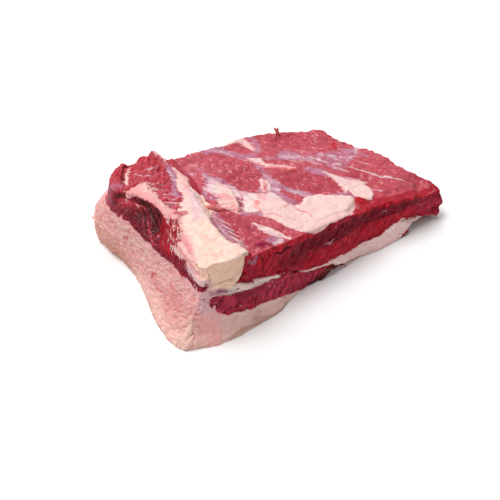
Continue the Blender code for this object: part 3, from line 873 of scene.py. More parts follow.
# the raised thick end: the hard fat, its strip to the back, the left branch and the mound
moundGrain = (0.75, 0.62, 0.2)
ridgeMarks = [
    lean("mound", [(50, 230), (58, 150), (92, 132), (116, 176), (118, 215), (100, 240)], soft=6, above=60),
    tint("leanBright", [(60, 220), (80, 228), (106, 214), (100, 196), (76, 204)], soft=14, amount=0.35,
        above=60),
    # a painted lavender sheen along the mound's left edge
    film("lavender", [(50, 222), (54, 208), (58, 198)], [4, 6, 4], above=60),
    # hard fat and the strip of it that runs to the back
    fat("cream", [(20, 20), (36, 18), (80, 20), (87, 32), (89, 50), (88, 70), (90, 90), (102, 102),
        (110, 110), (112, 120), (116, 134), (111, 142), (113, 150), (116, 158), (123, 168), (116, 174),
        (120, 183), (114, 188), (117, 196), (122, 206), (124, 222), (114, 222), (113, 206), (114, 194),
        (115, 186), (114, 178), (106, 165), (100, 158), (94, 147), (92, 141), (90, 134), (88, 128),
        (82, 121), (68, 119), (60, 116), (54, 96), (48, 76), (41, 56), (34, 40)], rise=0.8, edge=2,
        fray=1.2, grain=topGrain, above=70),
    fat("pinkPale", [(26, 50), (40, 52), (42, 56), (48, 72), (55, 92), (62, 112), (56, 118), (46, 104),
        (34, 76)], sharp=0.6, fray=2.6, grain=(0.6, 0.72, 0.3), above=70),
    fatTint("pinkPale", [(96, 134), (108, 158), (114, 176), (118, 214)], [12, 16, 18, 22], soft=8),
    fatTint("pink", [(100, 140), (106, 148)], [5, 5], soft=4, amount=0.7),
    fatTint("pink", [(112, 170), (116, 176), (118, 182)], [4, 6, 3], soft=5, amount=0.5),
    fatTint("filmPale", [(82, 100), (92, 118), (104, 138)], [12, 12, 8], soft=9, amount=0.7),
    film("lavender", [(98, 164), (106, 180), (110, 194), (116, 190), (114, 176), (104, 162)], amount=0.95,
        above=60),
    film("filmPale", [(100, 160), (104, 170), (108, 182)], [2.4, 4, 2.4], soft=3, amount=0.8, above=60),
    fatTint("white", [(114, 140), (120, 158), (119, 180)], [5, 5, 5], soft=5, amount=0.8),
    lean("lean", [(113, 207), (111, 196), (110, 190)], [4, 6, 2], soft=3, rise=-0.5, edge=2, fray=1.5,
        grain=topGrain, above=70),
    fatTint("pink", [(46, 66), (52, 84), (60, 104), (64, 114)], [6, 9, 10, 12], soft=9, amount=0.5),
    fatTint("rose", [(58, 112), (62, 117), (66, 118)], [6, 6, 4], soft=5, amount=0.6),
    fatTint("pinkPale", [(62, 90), (70, 70), (78, 52)], [3, 4, 3], soft=5, amount=0.6),
    fatTint("pinkPale", [(44, 56), (60, 44), (84, 38)], [3, 4, 3], soft=6, amount=0.5),
    fatTint("pink", [(60, 72), (72, 66), (84, 66)], [1, 1.6, 1], amount=0.4),
    # left branch over the hollow
    fat("pinkPale", [(54, 116), (56, 126), (57, 140), (57, 153), (55, 166), (55, 178), (53, 190), (59, 188),
        (66, 186), (73, 182), (77, 177), (74, 168), (72, 156), (70, 146), (69, 137), (68, 128), (72, 116),
        (62, 108)], rise=1.6, edge=3, sharp=0.6, fray=1.8, grain=moundGrain, above=70),
    fatTint("rose", [(62, 116), (62, 142), (64, 160), (64, 186)], [16, 14, 16, 20], soft=6, amount=0.5,
        above=70),
    fatTint("whitePink", [(62, 124), (65, 142), (69, 160), (70, 176)], [3, 3, 4, 3], soft=5, amount=0.5),
    film("filmWhite", [(72, 174), (78, 166), (84, 158)], [2, 2.4, 1], soft=2.5, amount=0.8, above=70),
    film("filmWhite", [(74, 182), (82, 174), (90, 166)], [1.6, 2, 1], soft=2.5, amount=0.7, above=70),
    film("filmWhite", [(70, 158), (75, 150), (79, 142)], [1.6, 2, 1], soft=2.5, above=70),
    fatTint("rose", [(56, 118), (58, 140), (58, 164), (56, 188)], [3, 4, 5, 5], soft=5, amount=0.6,
        above=70),
    fatTint("salmon", [(66, 150), (70, 144)], [2, 3], amount=0.5, above=70),
    # red side of the hard fat near its top
    lean("edgeRed", [(48, 119), (56, 117), (62, 110), (56, 96), (50, 88), (44, 86), (38, 96), (42, 112)],
        rise=-0.6, edge=2, fray=1.6, grain=(0.6, 0.72, 0.3), above=70),
    film("pinkPale", [(46, 122), (62, 114), (58, 94), (48, 84), (36, 86), (34, 112)], soft=4, amount=0.75,
        grain=(0.6, 0.72, 0.3), above=86, broken=True),
    fatTint("rose", [(52, 88), (48, 78), (44, 66)], [5, 5, 4], soft=5, amount=0.8, above=70),
    fatTint("capRed", [(49, 84), (46, 74)], [1.2, 1.8], soft=2, amount=0.6, above=70),
    fatTint("capRed", [(45, 74), (42, 64)], [1, 1.6], soft=2, amount=0.5, above=70),
    lean("mound", [(66, 133), (70, 141), (72, 150)], [1.5, 2.5, 1.5], soft=2, amount=0.8, rise=-0.6,
        edge=1.5, above=70),
    # islets of lean in the fat
    fatTint("islet", [(64.5, 120), (71, 120.5), (78, 114.5), (77, 109.5), (70, 111), (65, 115.5)], soft=2.4,
        above=70, steady=True),
    fatTint("pinkPale", [(70.5, 116), (73.5, 114)], [1.2, 1], soft=2, amount=0.5, above=70),
    fat("whitePink", [(71, 142), (77, 135), (83, 126)], [1.6, 2.4, 1.6], rise=0.4, edge=2, above=70),
    lean("lean", [(70, 138), (75, 130), (79, 122)], [3, 4.4, 1], soft=2, rise=-0.6, edge=2, fray=1.0,
        above=70),
    tint("mauve", [(70, 138), (73, 133)], [3, 4], soft=3, above=70),
    # the line that divides the mound, and its folds, painted dark as their shade
    fat("whitePink", [(64, 199), (70, 207), (78, 215), (86, 223)], [4, 3.4, 2.4, 1], rise=0.6, edge=2,
        sharp=0.6, above=70),
    crease("leanDark", [(60, 202), (67, 210), (75, 219), (83, 227)], [2, 3, 3, 2], soft=3, amount=0.8,
        rise=-2.0, edge=2, above=70),
    crease("leanDark", [(82, 170), (88, 168), (97, 158)], [1, 1.6, 1], amount=0.6, rise=-1.2, edge=1.5,
        above=70),
    crease("leanDark", [(96, 204), (98, 196), (104, 190)], [1, 1.6, 1], amount=0.5, rise=-1.0, edge=1.5,
        above=70),
    film("filmPale", [(88, 198), (94, 194), (102, 193)], [2, 2.6, 1.5], soft=2.4, above=70),
    film("lavender", [(98, 160), (94, 150), (86, 138)], [6, 7, 4], soft=4, amount=0.8, above=70),
    film("lavender", [(84, 158), (88, 148), (84, 138)], [4, 6, 3], amount=0.5, above=70),
    film("filmPale", [(78, 152), (88, 146)], [1.4, 2.2], soft=1.6, amount=0.8, above=70),
    film("filmPale", [(80, 138), (90, 134)], [1.4, 2.4], soft=1.6, amount=0.9, above=70),
    film("filmPale", [(76, 200), (80, 192), (90, 184)], [1.4, 2, 1.4], soft=2, amount=0.5, above=70),
    tint("lean", [(70, 186), (74, 206), (90, 206), (96, 186)], soft=8, amount=0.6, above=70),
]

# the cut face: (x, z) marks

cutMarks = [
    form([(0, -10), (0, 10), (110, 8), (120, -10)], rise=2.5, edge=10),
    lean("cut", [(0, -16), (0, 122), (380, 122), (380, -16)]),
    # tones of the lean
    tint("cutDark", [(150, 46), (152, 64), (236, 60), (345, 48), (345, 36), (230, 40)], soft=12,
        amount=0.9),
    tint("cutDark", [(124, 52), (130, 60), (150, 52), (170, 40), (150, 36), (130, 44)], soft=10,
        amount=0.6),
    tint("cutRed", [(170, 24), (176, 38), (230, 38), (300, 36), (330, 28), (300, 24), (230, 20)], soft=8,
        amount=0.7),
    tint("cutPink", [(332, 44), (356, 40), (360, 20), (344, 12), (330, 24)], soft=12, amount=0.7),
    tint("leanBright", [(96, 70), (110, 70), (130, 73), (145, 73), (172, 67)], [5, 6, 6, 6, 3], soft=5,
        amount=0.8),
    tint("leanBright", [(230, 65), (256, 60), (290, 55), (320, 50), (352, 46)], [3, 7, 8, 8, 8], soft=5,
        amount=0.85),
    # crevices under the rim and a crease along the face, painted dark as their shade
    crease("leanDark", [(124, 69), (133, 66), (142, 67), (148, 63)], [2, 4, 3, 1], soft=3, rise=-1.8,
        edge=1.5),
    crease("leanDark", [(154, 62), (161, 64), (168, 60)], [1, 3, 1], amount=0.9, rise=-1.5, edge=1.4),
    crease("leanDark", [(168, 64), (172, 61), (178, 62)], [1, 2, 1], amount=0.8, rise=-1, edge=1.2),
    crease("leanDark", [(106, 74), (107, 68), (103, 61)], [1.4, 2.4, 1], amount=0.9, rise=-1.6, edge=1.2),
    crease("leanDark", [(116, 76), (115, 70), (111, 64)], [1, 1.6, 1], amount=0.6, rise=-1.2, edge=1.2),
    crease("cutDark", [(176, 41), (208, 42), (240, 43), (276, 40), (306, 38)], [1, 2.4, 2.4, 2, 1],
        soft=2.5, rise=-1.2, edge=1.4),
    film("lavender", [(90, 76), (96, 72), (101, 76)], [5, 6, 4], soft=4, amount=0.7),
    film("filmWhite", [(194, 43), (200, 41), (206, 43)], [1.4, 2, 1.4], soft=1.6),
    film("filmWhite", [(206, 61), (208, 65)], [1, 1.4], soft=1.4),
    film("filmWhite", [(275, 44), (279, 47), (283, 44)], [1, 1.4, 1], soft=1.4),
    film("filmWhite", [(329, 34), (335, 31)], [1.4, 1.4], soft=1.4, amount=0.5),
    # fat of the broad band where it laps over the edge
    fat("pinkPale", [(164, 76), (168, 71), (176, 67), (188, 65), (198, 68), (206, 72), (206, 78)], rise=0.6,
        edge=1.5),
    # the hard fat, which fades into the seam at its foot
    fat("greyFat", [(32, 60), (46, 62), (60, 59), (70, 56), (80, 51.5), (96, 46.5), (110, 42.8),
        (124, 39.8), (134, 38)], [14, 13, 11.5, 11, 10.5, 8.6, 6.6, 5, 1.2], steady=True),
    fat("greyFat", [(36, 50), (36, 76), (62, 74), (66, 66), (72, 58), (80, 54), (84, 48), (60, 52)],
        steady=True),
    fat("creamCut", [(28, 110), (29, 84), (32, 70), (44, 64), (58, 60), (70, 62), (77, 68), (82, 76),
        (86, 84), (89, 92), (92, 110)]),
    fatTint("creamCut", [(28, 110), (30, 82), (38, 74), (52, 67), (62, 64), (74, 66), (84, 80), (92, 110)],
        soft=6),
    fatTint("greyFat", [(22, 52), (24, 74), (36, 70), (50, 64), (64, 58), (78, 53), (60, 48)], soft=7,
        amount=0.95),
    fatTint("filmPale", [(33, 76), (34, 66), (37, 58)], [5, 8, 6], soft=6, amount=0.8),
    fatTint("purple", [(34, 63), (45, 62.5), (57, 58.5)], [7, 7, 4], soft=4, amount=0.9),
    fatTint("cream", [(84, 51), (98, 47), (116, 42.4)], [3, 2.4, 1.6], soft=2, amount=0.8),
    # painted shade in the gap above the seam
    crease("leanDark", [(128, 38), (140, 34.5), (152, 29), (162, 23.5)], [1, 2.4, 2.6, 1], soft=1.6,
        rise=-2.2, edge=1.2),
    fat("bandWhite", [(156, 26.5), (164, 22.5), (174, 19), (186, 18), (198, 18), (212, 15.5)], [1.2, 2.6,
        3.2, 3, 4, 8]),
    # the small lean layer
    tint("lowLean", [(34, 58), (60, 54), (86, 46), (112, 39), (134, 37), (172, 17), (192, 14), (170, 2),
        (130, 2), (100, 20), (60, 32), (36, 38)]),
    tint("cutDark", [(34, 58), (56, 54), (90, 43), (100, 36), (70, 38), (44, 46)], soft=8, amount=0.6),
    film("lavender", [(44, 40), (54, 40), (64, 36)], [4, 5, 2], amount=0.45),
    film("filmWhite", [(58, 42), (66, 40.5)], [0.6, 1], soft=1.5, amount=0.5),
    film("filmWhite", [(118, 31), (119, 30)], [1.4, 1.4], soft=1.5),
    film("filmWhite", [(110, 35), (111, 34.5)], [1.2, 1.2], soft=1.5, amount=0.5),
    film("filmWhite", [(128, 33), (129, 32)], [1.2, 1.4], soft=1.5, amount=0.5),
    film("filmPale", [(126, 26), (131, 25)], [1, 1.4], soft=2, amount=0.4),
    film("filmWhite", [(98, 29), (99, 29)], [1.2, 1.2], soft=1.5, amount=0.5),
    # painted shade in a fold of the small lean layer
    crease("leanDark", [(36, 57.5), (46, 56.5), (58, 53.5), (70, 50), (84, 45.5)], [0.8, 1.2, 1, 1, 0.6],
        soft=1.6, amount=0.6, rise=-0.8, edge=1),
    tint("cutDark", [(37, 54), (43, 56), (46, 50), (42, 44), (38, 48)], soft=5, amount=0.7),
    tint("cutPurple", [(47, 44), (49, 47), (50, 43)], [2, 3, 2], soft=3, amount=0.8),
    # ragged foot of that layer: dried and brown, and darker still as painted shadow where it lifts off the
    # floor
    tint("brown", [(160, -6), (168, 2), (178, 4), (186, 9), (192, 13), (199, 16), (210, 14), (220, 11),
        (230, 4), (230, -6)], fray=1.6),
    tint("capBrown", [(186, 6), (190, 9), (196, 12)], [1, 2, 1], soft=2, amount=0.35),
    crease("leanDark", [(178, 1), (188, 5), (200, 9), (208, 11)], [2, 3, 3, 2], rise=-2.4, edge=2),
    crease("leanDark", [(196, 3), (208, 7), (222, 6)], [2, 3, 1], rise=-2, edge=2),
    # the cap
    fat("capCut", [(10, -8), (10, 64), (32, 61), (36, 51), (43, 40), (52, 32), (70, 25.5), (85, 21.5),
        (100, 18.5), (113, 16.5), (126, 13), (139, 8.5), (150, 4), (160, 0), (162, -8)]),
    lean("lowLean", [(38, 54), (41, 57.5), (47, 57), (56, 54), (66, 48), (64, 36), (54, 34), (46, 36.5),
        (41, 42), (38, 48)], soft=2, steady=True),
    tint("cutDark", [(38, 55), (44, 57), (50, 50), (44, 42), (38, 48)], soft=6, amount=0.6),
    fatTint("capGrey", [(40, 46), (60, 28), (100, 16), (140, 6), (120, -4), (80, 0), (44, 6), (34, 24)],
        soft=12, amount=0.55),
    fatTint("capCorner", [(28, -4), (28, 30), (30, 62)], [18, 16, 12], soft=14),
    fatTint("filmPale", [(31, 62), (33, 50), (37, 40)], [5, 7, 5], soft=6, amount=0.7),
    fatTint("capEdge", [(52, 3), (64, 5), (80, 3), (100, 2), (130, 1)], [4, 6, 5, 4, 3], soft=4,
        amount=0.65),
    fatTint("capEdge", [(82, 9), (88, 7), (94, 6)], [2, 4, 2], amount=0.6),
    fat("bandWhite", [(204, 12), (206, 18.5), (222, 17.5), (240, 17), (262, 18), (278, 20), (291, 24),
        (304, 25.5), (314, 21.5), (322, 18), (332, 15), (334, -8), (228, -8), (220, 4)]),
    fatTint("pink", [(214, 9), (236, 4), (262, 2), (286, 3), (304, 8)], [2, 2, 3, 3, 2], amount=0.4),
    # painted shade in a fold along the band's foot
    crease("leanDark", [(206, 10), (222, 5), (240, 1), (262, 0)], [1.6, 1.6, 1.4, 1], amount=0.8, rise=-1,
        edge=1),
]

# the thick end: (y, z) marks

endMarks = [
    form([(196, 6), (200, 54), (236, 56), (262, 30), (262, 0)], rise=4.0, edge=16),
    form([(-10, -10), (-10, 12), (52, 12), (56, -10)], rise=2.5, edge=10),
    form([(14, 64), (14, 88), (46, 88), (56, 64)], rise=2.6, edge=10),
    lean("wedgeRed", [(32, 56), (34, 122), (280, 122), (280, 40), (120, 40)], beyond=33),
    # the hollow, painted dark as its shade, with its curved fibres, and the round lobe behind it
    tint("hollow", [(118, 76), (122, 92), (136, 100), (158, 99), (172, 90), (176, 76), (150, 74)], soft=10),
    tint("hollow", [(142, 78), (144, 96), (162, 96), (168, 80)], soft=8),
    # painted shade along the hollow's lower edge
    tint("leanDark", [(100, 74), (140, 74), (186, 74)], [4, 6, 7], soft=6, amount=0.7),
    tint("mauveRed", [(186, 66), (190, 88), (206, 95), (226, 94), (228, 68), (210, 62)], soft=8),
    # painted shade on the lobe's side next to the hollow
    tint("brown", [(188, 72), (191, 88), (200, 92), (206, 84), (202, 72)], soft=10, amount=0.5),
    tint("leanDark", [(184, 70), (186, 78), (190, 88)], [4, 5, 4], amount=0.9, rise=-1.5, edge=3),
    # painted sheen on the round lobe, in mauve
    tint("mauve", [(207, 66), (210, 84), (222, 90), (238, 88), (246, 74), (240, 62), (222, 62)], soft=12,
        amount=0.9),
    tint("mauve", [(206, 72), (212, 82), (220, 88)], [3, 4, 3], amount=0.7),
    tint("mauveRed", [(206, 64), (212, 66), (214, 74)], [3, 3, 2], amount=0.7),
    tint("mauveRed", [(176, 88), (160, 82), (142, 75)], [1, 1.8, 1], soft=1.6, rise=1.1, edge=1),
    tint("mauveRed", [(172, 92), (152, 86), (130, 76)], [1, 1.6, 1], soft=1.6, rise=1.1, edge=1),
    tint("brown", [(166, 95), (148, 89), (128, 80)], [1, 1.8, 1], soft=1.6, rise=1.1, edge=1),
    tint("mauveRed", [(158, 97), (142, 92), (124, 83)], [1, 1.6, 1], soft=1.6, rise=1.1, edge=1),
    tint("lowLean", [(150, 82), (134, 76), (116, 72)], [1, 1.6, 1], soft=1.6, rise=1.0, edge=1),
    tint("mauveRed", [(146, 98), (134, 94), (120, 88)], [1, 1.4, 1], soft=1.6, rise=1.0, edge=1),
    tint("brown", [(163, 97), (160, 90), (163, 84)], [3, 4, 3], soft=3, amount=0.7),
    film("filmPale", [(152, 90), (146, 86), (138, 82)], [0.8, 1.2, 0.8], soft=1.4, amount=0.4),
    # between the hollow and the hard fat: red with white strands
    tint("leanBright", [(76, 82), (84, 99), (118, 100), (120, 82), (98, 78)], soft=8, amount=0.45),
    film("filmWhite", [(118, 97), (116, 88), (112, 80)], [1.6, 2.6, 1], soft=2, amount=0.8),
    film("filmWhite", [(108, 98), (108, 90), (103, 80)], [2, 3, 1.4], soft=2, amount=0.8),
    film("filmPale", [(113, 99), (112, 92), (108, 84)], [1, 2, 1], soft=2, amount=0.7),
    film("filmPale", [(101, 98), (101, 92), (97, 84)], [2, 1.6, 1], soft=2, amount=0.8),
    film("filmWhite", [(95, 98), (94, 90), (91, 82)], [2, 2.4, 1], soft=2, amount=0.8),
    tint("leanBright", [(110, 75), (92, 72)], [3, 2], amount=0.5),
    film("filmPale", [(54, 76), (50, 70), (46, 64)], [1, 1.6, 1], soft=1.6, amount=0.7),
    film("filmPale", [(48, 74), (44, 68), (40, 62)], [1, 1.6, 1], soft=1.6, amount=0.7),
    film("lavender", [(60, 76), (57, 70), (52, 66)], [1, 2, 1], soft=2),
    # side of the hard fat
    fat("greyFat", [(16, 50), (16, 84), (32, 84), (32, 50)], soft=3),
    fat("pinkPale", [(26, 110), (28, 77), (36, 77), (44, 78), (50, 80), (54, 79), (60, 78), (65, 82),
        (70, 85), (76, 80), (84, 78), (93, 79), (98, 84), (92, 88), (86, 92), (86, 100), (88, 110)],
        sharp=0.6, fray=2.6, grain=endGrain, beyond=30),
    fatTint("creamCut", [(20, 72), (20, 110), (48, 110), (47, 92), (43, 80), (38, 70)]),
    fatTint("rose", [(42, 94), (50, 86), (66, 86), (80, 90), (84, 100), (60, 98)], soft=8, amount=0.7),
    fatTint("mauve", [(42, 78), (50, 82), (60, 82), (68, 85)], [4, 5, 5, 4], soft=5, amount=0.5),
    fatTint("filmPale", [(30, 70), (32, 86), (44, 87), (58, 85), (60, 76), (44, 72)], soft=6, amount=0.7),
    lean("edgeRed", [(86, 86), (84, 94), (88, 106), (122, 106), (122, 90), (104, 84)], fray=1.6,
        grain=endGrain, above=80),
    film("pinkPale", [(80, 84), (80, 106), (112, 106), (112, 90), (96, 86)], amount=0.75, grain=endGrain,
        broken=True),
    fatTint("whitePink", [(60, 82), (74, 82), (88, 83)], [4, 5, 4], soft=4, amount=0.8),
    fatTint("pinkPale", [(40, 100), (42, 84)], [3, 3], soft=4),
    fat("pink", [(158, 103), (170, 98), (180, 92), (187, 86)], [3, 5, 7, 6], rise=1.6, edge=2.5),
    fatTint("leanBright", [(183, 80), (188, 82)], [4, 6], soft=4),
    tint("leanBright", [(186, 96), (200, 101), (218, 99), (210, 93), (192, 92)], soft=5, amount=0.6),
    tint("leanBright", [(122, 78), (124, 96)], [4, 5], soft=6, amount=0.6),
    # the cap
    fat("capPink", [(-10, -20), (-10, 76), (26, 76), (34, 68), (40, 66), (60, 65), (77, 64), (100, 66),
        (117, 68), (125, 70), (135, 68), (143, 69), (157, 70.5), (171, 70), (186, 66), (198, 63), (218, 62),
        (262, 58), (262, -20)]),
    lean("lowLean", [(22, 37), (22, 57), (38, 57), (38, 37)], soft=2, past=37),
    fatTint("capGrey", [(60, 50), (62, 60), (100, 62), (170, 66), (200, 60), (190, 44), (150, 40),
        (110, 44)], soft=16, amount=0.6),
    fatTint("capCream", [(34, -6), (36, 30), (60, 32), (100, 26), (160, 16), (160, -6)], soft=18,
        amount=0.85),
    fatTint("capBrown", [(150, -6), (165, 14), (190, 30), (246, 40), (256, -6)], soft=24, amount=0.8),
    fatTint("capCorner", [(20, 4), (24, 20), (30, 44), (34, 60)], [16, 16, 12, 8], soft=12, amount=0.8),
    fatTint("filmPale", [(31, 40), (33, 54), (34, 66)], [5, 8, 8], soft=7, amount=0.75),
    fatTint("filmPale", [(40, 60), (52, 62), (66, 62)], [4, 4, 3], soft=5, amount=0.5),
    fatTint("capRed", [(46, 20), (50, 38), (70, 44), (90, 36), (84, 20), (62, 14)], soft=16, amount=0.3),
    fatTint("capEdge", [(40, 0), (90, 1), (150, 1), (230, 2)], [2, 3, 4, 5], amount=0.6),
    fatTint("capRed", [(86, 36), (96, 31.5), (104, 32), (110, 36)], [1.2, 1.8, 2.4, 1.6], soft=2),
    fatTint("capRed", [(108, 43), (111, 41), (114, 34)], [2, 3.4, 2.6], soft=2.5),
    fatTint("capRed", [(62, 47), (72, 47.5), (84, 48)], [1, 1.8, 1], soft=2, amount=0.7),
    fatTint("capRed", [(74, 34), (78, 31), (84, 33)], [1, 1.6, 1], soft=2, amount=0.5),
    fatTint("capRed", [(73, 23), (77, 21)], [2, 2], soft=2, amount=0.7),
    fatTint("capRed", [(168, 48), (172, 46)], [4, 4], soft=4, amount=0.6),
    fatTint("capRed", [(188, 55), (192, 47)], [4, 3], soft=4, amount=0.4),
    fatTint("capRed", [(60, 62), (76, 61), (90, 59)], [1, 1.4, 1], soft=2, amount=0.4),
    fatTint("rose", [(150, 44), (158, 34), (168, 26)], [1.5, 2, 1], soft=2.5, amount=0.6),
    fatTint("capBrown", [(214, 42), (222, 34), (232, 24)], [2, 3, 2], amount=0.8),
]

print("marks ready")


# relief

reliefSizes = {
    "broadLumps": 0.7,
    "topLumps": 0.7,
    "topFibre": 0.45,
    "cutStrands": 1.3,
    "cutLumps": 1.0,
    "moundStrands": 2.0,
    "moundFibre": 0.4,
    "endStrands": 1.5,
    "capLobules": 1.0,
    "fatWaves": 0.55,
    # painted shade and highlight: how much the lean is darkened in furrows and lightened on ridges
    "furrowShade": 0.22,  # how much darker the lean is in its furrows
    "sideFurrowShade": 0.2,  # and how much more so on the sides
    "wallGap": 0.5,  # how far walls between layers go out to close the gap
    "lowest": 0.05,  # nothing goes below this height
}


def relief(points, facing, marks):
    # how far the surface stands out, in millimetres
    size = reliefSizes
    lean, fat = ramp(marks.fat, 0.8, -0.8), ramp(marks.fat, -0.8, 0.8)
    top, end = ramp(facing[:, 2], 0.45, 0.75), ramp(-facing[:, 0], 0.3, 0.6)
    x, y, z = points.T
    # the mound is the lean at the back of the thick end, with larger folds
    mound = ramp(x, 114, 102) * ramp(y, 116, 136) * ramp(z, 60, 72) * ramp(-facing[:, 0], 0.85, 0.5)
    rise = marks.rise + size["broadLumps"] * lumps(points, 24, 1, 2)
    flatTop = lean * top * (1 - mound)
    rise += flatTop * size["topLumps"] * (lumps(points, 8, 21, 2) + 0.7 * turned(points, topGrain, 4, 22, 22))
    rise += flatTop * size["topFibre"] * bundles(points, topGrain, 2.4, 14, 23)
    folds = bundles(points, (0.9, 0.3, 0.3), 7, 18, 24) + 0.5 * lumps(points, 6, 25, 2)
    rise += lean * mound * size["moundStrands"] * folds
    rise += lean * mound * size["moundFibre"] * bundles(points, (0.8, 0.5, 0.2), 3.4, 11, 31)
    sides = lean * (1 - top) * (1 - mound)
    rise += sides * (1 - end) * size["cutStrands"] * bundles(points, cutGrain, 2.6, 13, 26)
    folds = turned(points, cutGrain, 6, 16, 27, 2) + lumps(points, 9, 32)
    rise += sides * (1 - end) * size["cutLumps"] * folds
    folds = bundles(points, endGrain, 3, 14, 33) + 0.5 * turned(points, endGrain, 6, 18, 34)
    rise += sides * end * size["endStrands"] * folds
    waves = bundles(points, (0, 0.88, -0.42), 4.2, 12, 28) + 0.8 * lumps(points, (8, 8, 5), 35, 2)
    rise += fat * end * size["capLobules"] * waves
    waves = lumps(points, (12, 9, 9), 29, 2) + 0.3 * lumps(points, 3.2, 30)
    rise += fat * (1 - end) * size["fatWaves"] * waves
    return rise


# dress the layers

pieces = {}
layers = {
    "fatCap": dict(node="fat_cap", voxel=1.2, keep=0.42, fat=5.0),
    "flatLean": dict(node="flat_lean", voxel=1.1, keep=0.6, fat=-5.0),
    "coreLean": dict(node="lean_core", voxel=1.1, keep=0.4, fat=-5.0),
    "hardFat": dict(node="hard_fat", voxel=1.0, keep=1.0, fat=5.0),
    "endLean": dict(node="end_lean", voxel=1.0, keep=1.0, fat=-5.0),
}

marksSeen = {
    "front": cutMarks,
    "end": endMarks,
    "thin": thinMarks,
    "back": backMarks,
    "top": topMarks + ridgeMarks + formMarks,
}
look = meatMaterial("meat", meatFinish)
for name, layer in layers.items():
    piece = evenCopy(layer["node"], name, layer["voxel"], layer["keep"])
    points, normals = placesOf(piece.data)
    away, facing, nearSkin = onSkin(points)
    facing = smoothedOver(piece.data, facing, 5)
    facing /= np.linalg.norm(facing, axis=1, keepdims=True) + 1e-9
    agree = (facing * normals).sum(axis=1)
    # rounded edges go back out to the skin, and walls close the gap to the next layer
    points += (nearSkin - points) * (ramp(agree, 0.2, 0.6) * ramp(away, 3, 1.8))[:, None]
    points += normals * (reliefSizes["wallGap"] * ramp(agree, 0.8, 0.3))[:, None]
    shown = ramp(away, 7, 1.5) * ramp(points[:, 2], 0, 2.5)
    marks = Marks(points, facing, layer["fat"])
    marks.side = ramp(facing[:, 2], 0.75, 0.45)
    for view, listed in marksSeen.items():
        marks.look(view)
        for one in listed:
            marks.put(one)
    rise = relief(points, facing, marks) * shown
    # painted shade and highlight: furrows are darker and ridges paler; in the fat the furrows are also
    # redder, a tint of its own
    hollow = rise - smoothedOver(piece.data, rise[:, None].copy(), 8)[:, 0]
    furrow = np.clip(hollow / 0.5, -1, 1)[:, None]
    darker = reliefSizes["furrowShade"] + reliefSizes["sideFurrowShade"] * marks.side[:, None]
    marks.leanTone *= 1 + darker * furrow
    onCap = marks.side[:, None] * ramp(marks.fat, -0.5, 0.5)[:, None]
    x, y, z = points.T
    marks.veins = 0.15 + 0.85 * ramp(-facing[:, 0], 0.3, 0.6) * ramp(z, 76, 68) * ramp(z + 0.1 * y, 8, 44)
    # the fat is painted darker in its furrows as their shade, and redder there, a tint of its own
    marks.fatTone *= 1 + furrow * ((0.06, 0.13, 0.13) + onCap * (0.0, 0.12, 0.1))
    points = points + facing * (rise + marks.form * ramp(away, 9, 2))[:, None]
    points[:, 2] = np.maximum(points[:, 2] + marks.lift, reliefSizes["lowest"])
    finishMesh(piece, marks, points)
    piece.data.materials.clear()
    piece.data.materials.append(look)
    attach(piece, "root")
    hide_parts(layer["node"])
    pieces[name] = piece
    print(name, len(piece.data.vertices), sum(len(f.vertices) - 2 for f in piece.data.polygons), "triangles")


# strands, tags and wisps: paths with a girth, made round by one node tree

strandSizes = {
    "Spacing": 0.0012,  # metres between rings
    "Sides": 7,
    "Waver": 0.0007,  # how far noise moves the skin
    "Waver Width": 0.004,
    "Seed": 3.0,
}


def strandTree():
    tree = bpy.data.node_groups.new("strands", "GeometryNodeTree")
    tree.interface.new_socket("Paths", in_out="INPUT", socket_type="NodeSocketGeometry")
    for label, value in strandSizes.items():
        kind = "NodeSocketInt" if isinstance(value, int) else "NodeSocketFloat"
        tree.interface.new_socket(label, in_out="INPUT", socket_type=kind)
    tree.interface.new_socket("Finish", in_out="INPUT", socket_type="NodeSocketMaterial")
    tree.interface.new_socket("Strands", in_out="OUTPUT", socket_type="NodeSocketGeometry")
    given = tree.nodes.new("NodeGroupInput")
    start = Wire(tree)
    asked = {socket.name: Wire(tree, socket) for socket in given.outputs if socket.name}
    girth = start.add("GeometryNodeInputNamedAttribute", {"data_type": "FLOAT"}, {"Name": "girth"})
    curve = start.add("GeometryNodeMeshToCurve", None, {"Mesh": asked["Paths"]})
    even = {"Curve": curve, "Length": asked["Spacing"]}
    curve = start.add("GeometryNodeResampleCurve", {"mode": "LENGTH"}, even)
    ring = {"Resolution": asked["Sides"], "Radius": 0.001}
    ring = start.add("GeometryNodeCurvePrimitiveCircle", None, ring)
    tube = start.add(
        "GeometryNodeCurveToMesh",
        None,
        {"Curve": curve, "Profile Curve": ring, "Scale": girth, "Fill Caps": True},
    )
    place = start.add("GeometryNodeInputPosition")
    noise = start.add(
        "ShaderNodeTexNoise",
        {"noise_dimensions": "4D"},
        {"Vector": place, "W": asked["Seed"], "Scale": 1 / strandSizes["Waver Width"], "Detail": 2.0},
        output=1,
    )
    shift = start.add("ShaderNodeVectorMath", {"operation": "SUBTRACT"}, {0: noise, 1: (0.5, 0.5, 0.5)})
    shift = shade(shift, asked["Waver"] * 2.0)
    tube = start.add("GeometryNodeSetPosition", None, {"Geometry": tube, "Offset": shift})
    whole = start.add("GeometryNodeRealizeInstances", None, {"Geometry": tube})
    whole = start.add("GeometryNodeSetMaterial", None, {"Geometry": whole, "Material": asked["Finish"]})
    tree.links.new(whole.socket, tree.nodes.new("NodeGroupOutput").inputs["Strands"])
    return tree


strands = strandTree()
corners, faces = [], []
for piece in pieces.values():
    first = len(corners)
    corners += [v.co.copy() for v in piece.data.vertices]
    faces += [tuple(first + i for i in face.vertices) for face in piece.data.polygons]
dressed = BVHTree.FromPolygons(corners, faces)


